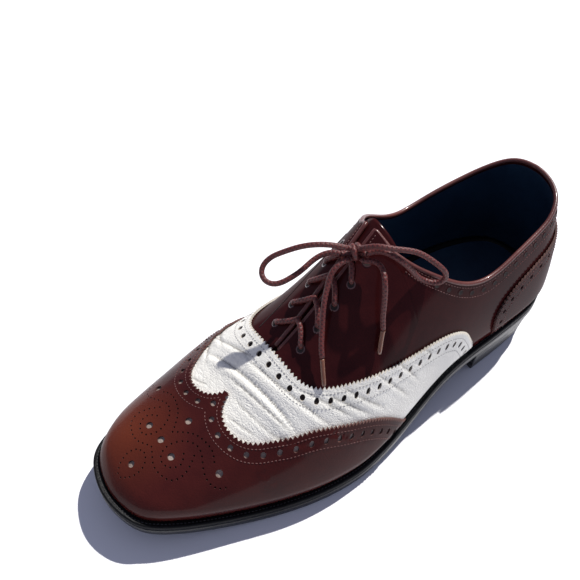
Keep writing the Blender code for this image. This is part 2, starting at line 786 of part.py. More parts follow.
def make_upper(leather_brown, leather_white):
    upper = shell("upper", -WALL, 0.0, leather_brown)
    for pair in range(EYELET_PAIRS):
        for side, word in ((1, "lateral"), (-1, "medial")):
            spot = [(side * EYELET_OUT, eyelet_y(pair))]
            ends = np.concatenate([last.flat(spot, 0.004), last.flat(spot, -0.005)])
            hole = tube(f"hole_{word}_{pair + 1}", ends, EYELET_RADIUS, 8, None)
            cut(upper, hole, "DIFFERENCE")
    low = OVERLAY_CLEAR
    high = low + OVERLAY_THICK
    vamp = shell("vamp", low, high, leather_white)
    cut(vamp, thick_patch("vamp_cutter", forepart_region(VAMP_EDGE), last.flat), "INTERSECT")
    region, girth = counter_region()
    counter = shell("heel_counter", low, high, leather_brown)

    def on_wall(spots, offset):
        return last.wall(spots / (girth, 1), offset)

    cut(counter, thick_patch("counter_cutter", region, on_wall), "INTERSECT")
    low = high + OVERLAY_CLEAR
    cap = shell("wing_cap", low, low + OVERLAY_THICK, leather_brown)
    cut(cap, thick_patch("cap_cutter", forepart_region(WING_EDGE), last.flat), "INTERSECT")


def make_tongue(material):
    """A sheet under the facings, on the same columns and rows as the upper over it."""
    front = QUARTER_COLUMNS + FACING_COLUMNS + 2
    along = np.r_[TONGUE_TIP_ALONG, planes()[QUARTER_COLUMNS:front]]
    shares = 1 - np.arange(TONGUE_COLUMNS, -1, -1) / WALL_ROWS
    layers = []
    for offset in (-WALL - TONGUE_CLEAR, -WALL - TONGUE_CLEAR - TONGUE_THICK):
        rows = []
        for plane in along:
            sides = []
            for medial in (False, True):
                turn = float(last.turn_at(plane, medial))
                angle = np.r_[exact_top(turn) * shares, math.pi / 2]
                drop = TONGUE_TIP_DROP if plane < FACING_TOP_ALONG else 0.0
                sides.append(last.at(np.full(len(angle), turn), angle, offset - drop))
            rows.append(np.concatenate([sides[0], sides[1][-2::-1]]))
        layers.append(np.stack(rows))
    rows, width = layers[0].shape[:2]
    total = rows * width
    faces = grid_faces(rows, width) + grid_faces(rows, width, total, flip=True)
    rim = [j for j in range(width)]
    rim += [i * width + width - 1 for i in range(1, rows)]
    rim += [(rows - 1) * width + j for j in range(width - 2, -1, -1)]
    rim += [i * width for i in range(rows - 2, 0, -1)]
    faces += [(a, b, b + total, a + total) for a, b in zip(rim, rim[1:] + rim[:1])]
    add_piece("tongue", np.concatenate(layers).reshape(-1, 3), faces, material)


def make_lacing(material):
    """One bent bar a pair: from the medial eyelet over the slit to the lateral eyelet."""
    height = LACE_RADIUS + LACE_CLEAR
    for pair in range(EYELET_PAIRS - 1):
        y = eyelet_y(pair)
        share = np.linspace(-1, 1, 9)
        spots = np.column_stack([share * EYELET_OUT, y + LACE_BEND * (1 - np.abs(share))])
        path = last.flat(spots, height)
        tube(f"lace_cross_{pair + 1}", path, LACE_RADIUS, LACE_SIDES, material)


def cord_piece(name, route, material):
    """A free stretch of lace as a bevelled curve along a smooth line through its route."""
    line = smooth_line(route, BOW_STEP) * MM
    curve = bpy.data.curves.new(name, "CURVE")
    curve.dimensions = "3D"
    stretch = curve.splines.new("POLY")
    stretch.points.add(len(line) - 1)
    for point, place in zip(stretch.points, line):
        point.co = (*place, 1)
    curve.bevel_depth = LACE_RADIUS
    curve.bevel_resolution = 2
    curve.use_fill_caps = True
    curve.materials.append(material)
    thing = bpy.data.objects.new(name, curve)
    bpy.context.collection.objects.link(thing)


def make_bow(cord, tan):
    cord_piece("bow_loop_medial", LOOP_MEDIAL, cord)
    cord_piece("bow_loop_lateral", LOOP_LATERAL, cord)
    cord_piece("bow_end_medial", END_MEDIAL, cord)
    cord_piece("bow_end_lateral", END_LATERAL, cord)
    tube("aglet_medial", np.array(AGLET_MEDIAL) * MM, AGLET_RADIUS, 8, tan)
    tube("aglet_lateral", np.array(AGLET_LATERAL) * MM, AGLET_RADIUS, 8, tan)
    around = np.arange(KNOT_SIDES) / KNOT_SIDES * 2 * math.pi
    points = [(0, 0, -1)]
    for tilt in np.radians(np.linspace(-KNOT_TILT, KNOT_TILT, KNOT_RINGS)):
        ring = np.stack([np.cos(around), np.sin(around), 0 * around + math.tan(tilt)], axis=1)
        points += list(ring * math.cos(tilt))
    points.append((0, 0, 1))
    end = 1 + KNOT_SIDES * (KNOT_RINGS - 1)
    faces = []
    for j in range(KNOT_SIDES):
        k = (j + 1) % KNOT_SIDES
        faces.append((0, 1 + k, 1 + j))
        for i in range(KNOT_RINGS - 1):
            a = 1 + KNOT_SIDES * i
            faces.append((a + j, a + k, a + KNOT_SIDES + k, a + KNOT_SIDES + j))
        faces.append((len(points) - 1, end + j, end + k))
    place = (np.array(points) * KNOT_RADII + KNOT_CENTRE) * MM
    add_piece("bow_knot", place, faces, cord)


def main():
    clear_scene()
    brown = leather("brown leather", (0.085, 0.022, 0.016), 0.30, 0.5)
    white = leather("white leather", (0.68, 0.69, 0.66), 0.50)
    black = leather("black sole leather", (0.012, 0.012, 0.014), 0.42)
    lining = leather("dark lining", (0.010, 0.011, 0.018), 0.65)
    cord = leather("waxed cord", (0.090, 0.022, 0.018), 0.45)
    tan = leather("lace tips", (0.30, 0.16, 0.09), 0.35)
    make_soles(black, lining)
    make_upper(brown, white)
    make_tongue(brown)
    make_lacing(cord)
    make_bow(cord, tan)


main()
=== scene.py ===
"""Looks of the left spectator shoe: every leather, seam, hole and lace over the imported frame.

The upper's own form is worked out again from the driving sizes, so that each leather sheet
can be cut in the flat with its pinked edge and punched holes, and laid over the last.
Lengths are in metres unless a comment says mm. The toe points to -Y, the outer side to +X.
"""

import math

import bpy
import numpy as np
from mathutils import Matrix, Vector
from mathutils.geometry import delaunay_2d_cdt


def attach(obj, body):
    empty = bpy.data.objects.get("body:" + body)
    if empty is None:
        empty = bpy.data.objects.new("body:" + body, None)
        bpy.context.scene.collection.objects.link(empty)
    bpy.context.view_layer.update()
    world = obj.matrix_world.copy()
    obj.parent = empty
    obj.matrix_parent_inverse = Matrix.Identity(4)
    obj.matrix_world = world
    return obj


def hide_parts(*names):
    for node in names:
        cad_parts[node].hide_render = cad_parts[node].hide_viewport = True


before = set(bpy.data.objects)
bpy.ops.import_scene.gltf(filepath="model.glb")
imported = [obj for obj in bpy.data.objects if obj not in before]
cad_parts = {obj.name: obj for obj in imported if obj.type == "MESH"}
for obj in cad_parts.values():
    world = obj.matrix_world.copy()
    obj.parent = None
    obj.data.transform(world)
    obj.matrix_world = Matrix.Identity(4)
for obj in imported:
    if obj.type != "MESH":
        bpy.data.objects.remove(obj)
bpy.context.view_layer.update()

# Driving sizes
LENGTH = 0.292
BALL_WIDTH = 0.1125
INSTEP_HEIGHT = 0.106
HEEL_LIFT = 0.0208
TOE_SPRING = 0.0140
MM = 0.001

# Sole pieces
OUTSOLE_THICK = 0.0060
WELT_THICK = 0.0035
TOP_PIECE_THICK = 0.0060
BREAST_ALONG = 0.268
BREAST_CURVE = 0.0030
BREAST_SLOPE = 0.0035
HEEL_TAPER = 0.0022
SEAT_STEP = 0.0006

# Upper and its overlays
WALL = 0.0020
CLEAR = 0.0003
OVERLAY_CLEAR = 0.0005
OVERLAY_THICK = 0.0011
TUCK = 0.0012
TUCK_HEIGHT = 0.011

# Tongue
TONGUE_THICK = 0.0018
TONGUE_CLEAR = 0.0006
TONGUE_TIP_ALONG = 0.424

# Facings, eyelets and laces
THROAT_ALONG = 0.652
FACING_TOP_ALONG = 0.436
FACING_GAP_TOP = 0.0036
FACING_GAP_THROAT = 0.0014
EYELET_PAIRS = 5
EYELET_OUT = 0.0105
EYELET_RADIUS = 0.0018
EYELET_FIRST_ALONG = 0.620
EYELET_STEP_ALONG = 0.0365
LACE_RADIUS = 0.0014
LACE_BEND = 0.0075

# Fans that close the toe and the heel round a centre of their own
TOE_FAN = 0.034
HEEL_FAN = 0.034

# Density of the last's own table, and of the meshes
TABLE_TURNS = 1440
TABLE_ANGLES = 241

# Sole edge: share of LENGTH from the heel, then outer and inner edge as shares of BALL_WIDTH
OUTLINE = (
    # along, lateral, medial
    (0.020, 0.230, -0.125),
    (0.066, 0.346, -0.212),
    (0.155, 0.396, -0.280),
    (0.258, 0.405, -0.305),
    (0.361, 0.415, -0.312),
    (0.480, 0.466, -0.382),
    (0.600, 0.497, -0.460),
    (0.705, 0.457, -0.497),
    (0.800, 0.373, -0.465),
    (0.880, 0.288, -0.415),
    (0.940, 0.212, -0.353),
    (0.975, 0.142, -0.282),
    (0.993, 0.048, -0.186),
)
HEEL_BACK_X = 0.042
TOE_TIP_X = -0.063

# The last over that edge: ridge place and height, welt that shows, and how square its section is
SECTIONS = (
    # along, ridge_x / BALL_WIDTH, ridge_z / INSTEP_HEIGHT, welt shown, side power, top power
    (0.000, -0.005, 1.400, 0.0022, 1.62, 2.00),
    (0.155, -0.060, 1.370, 0.0022, 1.78, 2.02),
    (0.258, -0.110, 1.320, 0.0028, 1.98, 2.10),
    (0.361, -0.115, 1.187, 0.0032, 1.83, 2.05),
    (0.436, -0.080, 1.066, 0.0035, 1.58, 1.90),
    (0.525, -0.048, 0.888, 0.0038, 1.53, 1.88),
    (0.602, -0.034, 0.712, 0.0040, 1.65, 2.02),
    (0.672, -0.028, 0.583, 0.0042, 1.81, 2.20),
    (0.756, -0.035, 0.459, 0.0044, 1.90, 2.38),
    (0.825, -0.050, 0.394, 0.0044, 1.95, 2.50),
    (0.900, -0.072, 0.333, 0.0044, 1.98, 2.60),
    (1.000, -0.100, 0.252, 0.0044, 1.98, 2.60),
)

# Topline height over the floor as a share of INSTEP_HEIGHT
TOPLINE = (
    # along, lateral, medial
    (0.000, 0.945, 0.945),
    (0.063, 0.921, 0.880),
    (0.131, 0.874, 0.821),
    (0.210, 0.824, 0.768),
    (0.283, 0.787, 0.754),
    (0.346, 0.838, 0.840),
    (0.388, 0.912, 0.932),
    (0.420, 0.976, 1.000),
    (0.436, 1.018, 1.028),
)

# Lateral half of the wing cap's edge over the flat leather, from the peak to the welt
WING_EDGE = (
    # out from the ridge in mm, y in mm
    (0.0, -71.3),
    (4.5, -78.5),
    (10.5, -81.9),
    (17.6, -82.2),
    (24.4, -79.3),
    (29.7, -73.6),
    (33.7, -66.9),
    (38.8, -58.5),
    (43.7, -49.5),
    (50.5, -40.3),
    (58.9, -30.7),
    (69.0, -20.5),
    (83.7, -9.4),
    (98.0, -1.0),
    (112.0, 6.9),
)

# Lateral half of the vamp's upper edge, from the throat round its rear end to the welt
VAMP_EDGE = (
    # out from the ridge in mm, y in mm
    (0.0, -45.2),
    (12.5, -45.0),
    (24.8, -42.6),
    (33.6, -35.7),
    (40.9, -27.0),
    (53.9, -10.8),
    (67.5, 7.8),
    (81.6, 27.9),
    (95.4, 43.6),
    (103.5, 49.5),
    (110.5, 52.6),
    (122.2, 56.9),
    (131.0, 58.3),
)

# Lateral half of the heel counter's edge, from the back seam to the welt
COUNTER_EDGE = (
    # turn round the sole edge, height over the welt in mm
    (0.000, 49.0),
    (0.040, 46.8),
    (0.080, 43.8),
    (0.102, 39.3),
    (0.122, 33.2),
    (0.131, 28.0),
    (0.136, 20.5),
    (0.135, 10.0),
    (0.130, 0.0),
)

# The free bow: centre lines of its loops and ends, from the knot outwards, in mm
LOOP_MEDIAL = (
    # x, y, z
    (-4.7, 0.8, 111.0),
    (-9.5, -5.7, 113.0),
    (-17.9, -15.3, 111.2),
    (-24.7, -23.3, 105.9),
    (-28.4, -29.3, 101.0),
    (-27.7, -33.3, 97.7),
    (-24.9, -34.9, 95.5),
    (-21.2, -34.4, 94.5),
    (-17.8, -32.0, 95.0),
    (-15.1, -26.7, 97.3),
    (-14.1, -19.2, 99.9),
    (-13.8, -10.2, 103.4),
    (-10.0, -3.5, 106.0),
    (-6.7, -1.2, 106.4),
)
LOOP_LATERAL = (
    # x, y, z
    (1.1, 5.5, 113.0),
    (7.0, 8.2, 117.3),
    (13.1, 13.2, 117.8),
    (19.9, 23.3, 114.5),
    (25.8, 28.5, 110.2),
    (29.6, 31.6, 106.4),
    (31.2, 33.4, 101.6),
    (30.7, 32.7, 98.2),
    (28.3, 30.5, 96.0),
    (24.6, 26.8, 96.8),
    (21.4, 19.9, 105.3),
    (17.3, 14.9, 112.1),
    (11.1, 11.9, 113.8),
    (5.6, 9.7, 111.8),
    (3.1, 6.5, 110.0),
)
END_LATERAL = (
    # x, y, z
    (3.7, 4.4, 106.9),
    (6.9, 7.2, 107.6),
    (12.9, 7.4, 108.2),
    (18.9, 4.3, 105.8),
    (21.7, 2.7, 100.1),
    (23.8, 1.2, 93.5),
    (25.4, 0.1, 88.2),
    (27.7, -1.0, 82.6),
)
END_MEDIAL = (
    # x, y, z
    (-2.2, 0.2, 105.8),
    (-3.1, -4.7, 104.6),
    (-2.6, -10.1, 101.5),
    (-0.8, -13.4, 98.0),
    (4.1, -19.5, 92.0),
    (10.7, -25.4, 83.0),
    (15.1, -29.0, 78.5),
    (18.9, -31.4, 74.0),
)
AGLET_LATERAL = ((27.9, -1.1, 82.0), (30.2, -3.7, 77.0), (32.7, -6.3, 71.8))
AGLET_MEDIAL = ((19.3, -31.6, 73.6), (23.1, -33.8, 69.0), (27.1, -36.0, 63.5))
KNOT_CENTRE = (-2.3, 4.4, 108.2)
AGLET_RADIUS = 0.0012

# Camera and light, solved from the photograph's outlines and from where the shoe's shadow falls
CAMERA_PLACE = (0.15104, -0.15721, 0.34192)
CAMERA_RIGHT = (0.603864, 0.796868, 0.018700)
CAMERA_DOWN = (0.618871, -0.453935, -0.641048)
CAMERA_FORWARD = (-0.502342, 0.398679, -0.767273)
CAMERA_FOCAL_PIXELS = 665.94
PHOTO_SIZE = 580
SENSOR_WIDTH = 36
SUN_TRAVEL = (0.135, -0.586, -0.799)
SUN_STRENGTH = 5.0
SUN_ANGLE = 1.0
SUN_COLOUR = (1.0, 0.965, 0.92)
SKY_STRENGTH = 0.36
SKY_COLOUR = (0.62, 0.66, 0.92, 1)
FLOOR_COLOUR = (0.86, 0.87, 0.90, 1)
FLOOR_REACH = 3.0

# Pinked edges
TOOTH_PITCH = 0.0025
TOOTH_DEPTH = 0.0014

# Punched rows, the medallion's holes and pinholes
HOLE_RADIUS = 0.00145
HOLE_PITCH = 0.0082
HOLE_INSET = 0.0043
HOLE_OVER_WELT = 0.0020
HOLE_MARGIN = 0.0004
HOLE_SIDES = 14
LARGE_RADIUS = 0.0018
PIN_RADIUS = 0.00050
PIN_LARGEST = 0.001
PIN_SIDES = 8
PIN_PITCH = 0.0026
PIN_CLEAR = 0.0016
DISC_SIDES = 16
DISC_LEAN = (0.2, 0.9, 0.3)
# A flat disc with a rolled rim: share of the radius, height over the leather
DISC_PROFILE = ((0.0, -0.00002), (0.80, 0.00002), (0.98, 0.00010), (1.14, 0.00012), (1.32, -0.00004))

# Seams
STITCH_NEAR = 0.0016
STITCH_FAR = 0.0074
STITCH_LENGTH = 0.0013
STITCH_PITCH = 0.0019
THREAD = 0.00030
STITCH_OVER_WELT = 0.0010
SEAM_STEP = 0.001
NORMAL_STEP = 0.002
COLLAR_SEAMS = (0.0022, 0.0082)
COLLAR_HOLES = 0.0052
COLLAR_HOLES_START = 0.002
FACING_SEAM_INSET = 0.0160
FACING_SEAM_RADIUS = 0.00028
BINDING_RADIUS = 0.00125
BINDING_STEP = 0.0015
# One thread's eleven corners: two ends, then left, top and right at three cross-sections
STITCH_CORNERS = 11
STITCH_FACES = (
    (0, 3, 2), (0, 4, 3), (2, 3, 6, 5), (3, 4, 7, 6), (5, 6, 9, 8), (6, 7, 10, 9), (1, 8, 9), (1, 9, 10),
)

# Leather sheets
SHEET_SPACING = 0.0020
VAMP_SPACING = 0.0009
VAMP_COVERED = 0.008
PRESSED_HEIGHT = 0.0100
PRESSED_FOOT = 0.22
EDGE_OVER_WELT = 0.0006
BORDER_PAST = 0.0010
BORDER_POINTS = 420
COUNTER_PAST = 0.0003
COUNTER_FOOT_POINTS = 78
COUNTER_GIRTH = LENGTH * 2.4
CROWN_LEAN = 0.012
UPPER_ROWS = 56
UPPER_ROW_POWER = 1.15
TONGUE_START_ALONG = 0.70
TONGUE_REACH = 0.021

# Creases: reach of one from its middle in mm, the roll beside its trough, and the shade painted in it
CREASE_REACH = (60, 45)
CREASE_LEAST = -1.05
CREASE_MOST = 1.1
CREASE_FADE = 1.5
CREASE_CLEAR = 0.00042
CREASE_STEP = 0.0006
CREASE_ENDS = 0.002
ROLL_HEIGHT = 0.62
ROLL_PLACE = 2.4
ROLL_BREADTH = 1.9
CREASE_SHADE_LEAST = 0.30
CREASE_SHADE_BREADTH = 0.42

# Soles: rounded edges as rows of inset and height, from the lower face round to the upper one
SPINE_SHARES = (0.2, 0.4, 0.6, 0.8, 1.0)
SPINE_TOE_ALONG = 0.955
SPINE_HEEL_ALONG = 0.055
OUTSOLE_ROWS = (
    (0.0040, 0.0), (0.0011, 0.0), (0.0003, 0.0003), (0.0, 0.0010),
    (0.0, OUTSOLE_THICK - 0.0012), (0.0003, OUTSOLE_THICK - 0.0004),
    (0.0012, OUTSOLE_THICK), (0.0040, OUTSOLE_THICK),
)
WELT_LOW = OUTSOLE_THICK + 0.0001
WELT_HIGH = OUTSOLE_THICK + WELT_THICK
WELT_ROWS = (
    (0.0084, WELT_LOW), (0.0010, WELT_LOW), (0.0003, WELT_LOW + 0.0003), (0.0001, WELT_LOW + 0.0010),
    (0.0001, WELT_HIGH - 0.0010), (0.0005, WELT_HIGH - 0.0003), (0.0012, WELT_HIGH),
    (0.0020, WELT_HIGH - 0.0002), (0.0030, WELT_HIGH), (0.0084, WELT_HIGH),
)
WELT_SEAM_INSET = 0.0021
WELT_SEAM_RISE = 0.00005
LIFT_SEAMS = (0.0110, 0.0158)
LIFT_GROOVE = 0.00018
LIFT_GROOVE_HALF = 0.00025
LIFT_GAP = 0.0002
LIFTS_BELOW_SEAT = 0.0001
# Height over the floor and extra inset of the heel's top piece
TOP_PIECE_ROWS = ((0.0, 0.0006), (0.0004, 0.0001), (0.0009, 0.0), (0.0054, 0.0), (0.0060, 0.0003))
HEEL_POINTS = 420

# Laces: a crossing bends over the ridge and sinks into its eyelets, the bow is tied over it
CORD_STEP = 0.0012
CORE_STEP = 0.0007
TIP_STEP = 0.0008
CROSS_LEAN = 0.0011
CROSS_REST = 0.95
CROSS_ARCH = 0.0007
CROSS_SINK_START = 0.86
CROSS_SINK = 0.0040
WRAP_LEAD = (0.55, 0.83, 0.10)
WRAP_RADII = (3.0, 3.4)
WRAP_ADVANCE = 0.42
WRAP_OVERLAP = 0.6
# Ends of the loops and tails, joined through the knot in mm
KNOT_CORES = (
    ((-4.7, 0.8, 111.0), (-2.2, 4.2, 110.4), (1.1, 5.5, 113.0)),
    ((-6.7, -1.2, 106.4), (-2.6, 4.0, 107.0), (3.1, 6.5, 110.0)),
    ((-2.2, 0.2, 105.8), (-1.2, 4.0, 105.6), (3.7, 4.4, 106.9)),
)

# A lighter, warmer patch on the toe cap: centre, size and colour; and the shade painted in the creases
TOE_PATCH = ((-0.026, -0.120, 0.036), (0.038, 0.034, 0.04), (0.115, 0.024, 0.011))
CREASE_SHADE_COLOUR = (0.13, 0.12, 0.11)

# Flex creases on the flat leather in mm: a narrow trough with a soft roll on its toe side
CREASES = np.array((
    # from x, y, through x, y, to x, y, depth, breadth
    (-34, -66, 4, -60, 41, -55.5, 1.00, 1.25),
    (-9, -66.5, 14, -64, 38, -57.5, 0.50, 0.90),
    (-12, -55, 20, -54, 52, -38.5, 0.60, 1.10),
    (20, -47, 40, -37, 57, -28, 0.38, 0.90),
    (34, -36.5, 50, -28, 68, -18, 0.38, 0.90),
    (38, -28.5, 56, -20, 76, -9, 0.36, 0.90),
    (47, -12.5, 68, -3, 90, 7, 0.28, 0.80),
    (50, -2.5, 68, 6, 90, 15, 0.26, 0.80),
    (66, 16, 74, 20, 85, 25, 0.22, 0.70),
    (9, -78.5, 18, -76, 26, -72.5, 0.22, 0.70),
    (2, -71, 20, -70.5, 42, -61.5, 0.20, 0.80),
    (30, -66, 42, -60, 52, -48, 0.24, 0.80),
    (44, -46, 60, -36, 78, -23, 0.26, 0.80),
    (-24, -80, -16, -79, -11, -76, 0.20, 0.70),
    (-42, -56, -22, -57.5, -3, -52, 0.50, 1.00),
    (-62, -43, -40, -54, -24, -59, 0.42, 1.00),
    (-52, -51, -36, -62, -22, -71, 0.38, 0.90),
    (-74, -27, -56, -38, -42, -47, 0.32, 0.90),
    (35, -78.5, 46, -76, 58, -72.5, 0.14, 0.50),
    (32, -80, 42, -78.5, 53, -75.5, 0.12, 0.50),
))

# Punched holes of the toe's medallion on the flat leather in mm; the right half, mirrored
MEDALLION_LARGE = ((0.0, -94.0), (0.0, -109.4), (0.0, -127.4), (10.3, -110.0), (29.0, -95.5))
MEDALLION_CURVES = (
    # the curl round the side hole, the arch over it, the loop under it and the front bud
    ((12.5, -104.5), (16.0, -108.5), (14.3, -112.9), (8.7, -114.7), (5.0, -110.0), (5.6, -104.5),
     (9.0, -99.5), (14.5, -97.3), (19.5, -98.8), (24.0, -101.0), (29.0, -101.6), (34.0, -99.3),
     (36.0, -96.0)),
    ((0.0, -103.0), (4.0, -98.5), (8.0, -95.2), (14.0, -93.2), (19.0, -93.0), (23.5, -94.8)),
    ((16.0, -101.0), (19.0, -105.5), (20.6, -110.5), (19.3, -115.4), (14.0, -118.5), (8.0, -118.8),
     (3.0, -116.4), (0.0, -115.0)),
    ((0.0, -119.4), (3.5, -120.7), (5.8, -124.0), (5.9, -128.5), (4.4, -132.0), (1.4, -135.2)),
)


def way_along(line):
    """The way run along a polyline up to each of its points."""
    return np.r_[0, np.cumsum(np.linalg.norm(np.diff(line, axis=0), axis=1))]


def at_ways(line, run, ways):
    """Points of a polyline at these ways."""
    return np.stack([np.interp(ways, run, column) for column in line.T], axis=-1)


def unit(vectors):
    return vectors / np.linalg.norm(vectors, axis=-1, keepdims=True)


def spline(knots, values, closed=False):
    """A cubic through the values with even curvature; closed curves repeat after the last knot."""
    knots = np.asarray(knots, float)
    values = np.asarray(values, float)
    count = len(knots)
    step = np.diff(knots)
    system = np.zeros((count, count))
    right = np.zeros((count,) + values.shape[1:])
    slope = (np.diff(values, axis=0).T / step).T
    for i in range(1, count - 1):
        system[i, i - 1] = step[i]
        system[i, i] = 2 * (step[i - 1] + step[i])
        system[i, i + 1] = step[i - 1]
        right[i] = 3 * (step[i] * slope[i - 1] + step[i - 1] * slope[i])
    if closed:
        system[0, 0] = 1
        system[0, -1] = -1
        system[-1, 0] = 2 * step[-1]
        system[-1, 1] = step[-1]
        system[-1, -1] = 2 * step[0]
        system[-1, -2] = step[0]
        right[-1] = 3 * (step[-1] * slope[0] + step[0] * slope[-1])
    else:
        system[0, 0] = 2
        system[0, 1] = 1
        right[0] = 3 * slope[0]
        system[-1, -1] = 2
        system[-1, -2] = 1
        right[-1] = 3 * slope[-1]
    tangent = np.linalg.solve(system, right)

    def at(t):
        t = np.asarray(t, float)
        if closed:
            t = (t - knots[0]) % (knots[-1] - knots[0]) + knots[0]
        k = np.clip(np.searchsorted(knots, t, side="right") - 1, 0, count - 2)
        h = step[k]
        s = (t - knots[k]) / h
        shape = s.shape + (1,) * (values.ndim - 1)
        s = s.reshape(shape)
        h = h.reshape(shape)
        return (
            (2 * s**3 - 3 * s**2 + 1) * values[k]
            + (s**3 - 2 * s**2 + s) * h * tangent[k]
            + (3 * s**2 - 2 * s**3) * values[k + 1]
            + (s**3 - s**2) * h * tangent[k + 1]
        )

    return at


def y_at(along):
    return LENGTH * (0.5 - np.asarray(along, float))


def along_of(y):
    return 0.5 - np.asarray(y, float) / LENGTH


def make_outline():
    """Sole edge as a closed curve of turn: 0 heel back, lateral side, 0.5 toe tip, medial side."""
    along, lateral, medial = np.array(OUTLINE).T
    heel = [[HEEL_BACK_X * BALL_WIDTH, y_at(0.0)]]
    toe = [[TOE_TIP_X * BALL_WIDTH, y_at(1.0)]]
    outer = np.column_stack([lateral * BALL_WIDTH, y_at(along)])
    inner = np.column_stack([medial * BALL_WIDTH, y_at(along)])
    lateral_side = np.vstack([heel, outer, toe])
    medial_side = np.vstack([toe, inner[::-1], heel])
    halves = []
    for start, side in ((0.0, lateral_side), (0.5, medial_side)):
        run = way_along(side)
        halves.append(start + 0.5 * run / run[-1])
    knots = np.r_[halves[0], halves[1][1:]]
    return spline(knots, np.vstack([lateral_side, medial_side[1:]]), closed=True)


outline = make_outline()
section = spline([row[0] for row in SECTIONS], [row[1:] for row in SECTIONS])
topline = spline([row[0] for row in TOPLINE], [row[1:] for row in TOPLINE])


def edge_with_inset(turn, inset):
    """Sole edge moved inwards."""
    turn = np.asarray(turn, float)
    ahead = unit(outline(turn + 1e-4) - outline(turn - 1e-4))
    inwards = np.stack([ahead[..., 1], -ahead[..., 0]], axis=-1)
    return outline(turn) + inwards * (np.zeros(turn.shape) + inset)[..., None]


def underside(y):
    """Height of the outsole's lower face: flat under the ball, sprung toe, raised waist and heel."""
    along = along_of(y)
    spring = np.clip((along - 0.750) / 0.250, 0, 1)
    rise = np.clip((0.603 - along) / (0.603 - BREAST_ALONG), 0, 1)
    return TOE_SPRING * spring**1.8 + HEEL_LIFT * rise**1.5 * (2.5 - 1.5 * rise)


def feather(y):
    """Top of the welt, where the upper stands."""
    return underside(y) + OUTSOLE_THICK + WELT_THICK + CLEAR


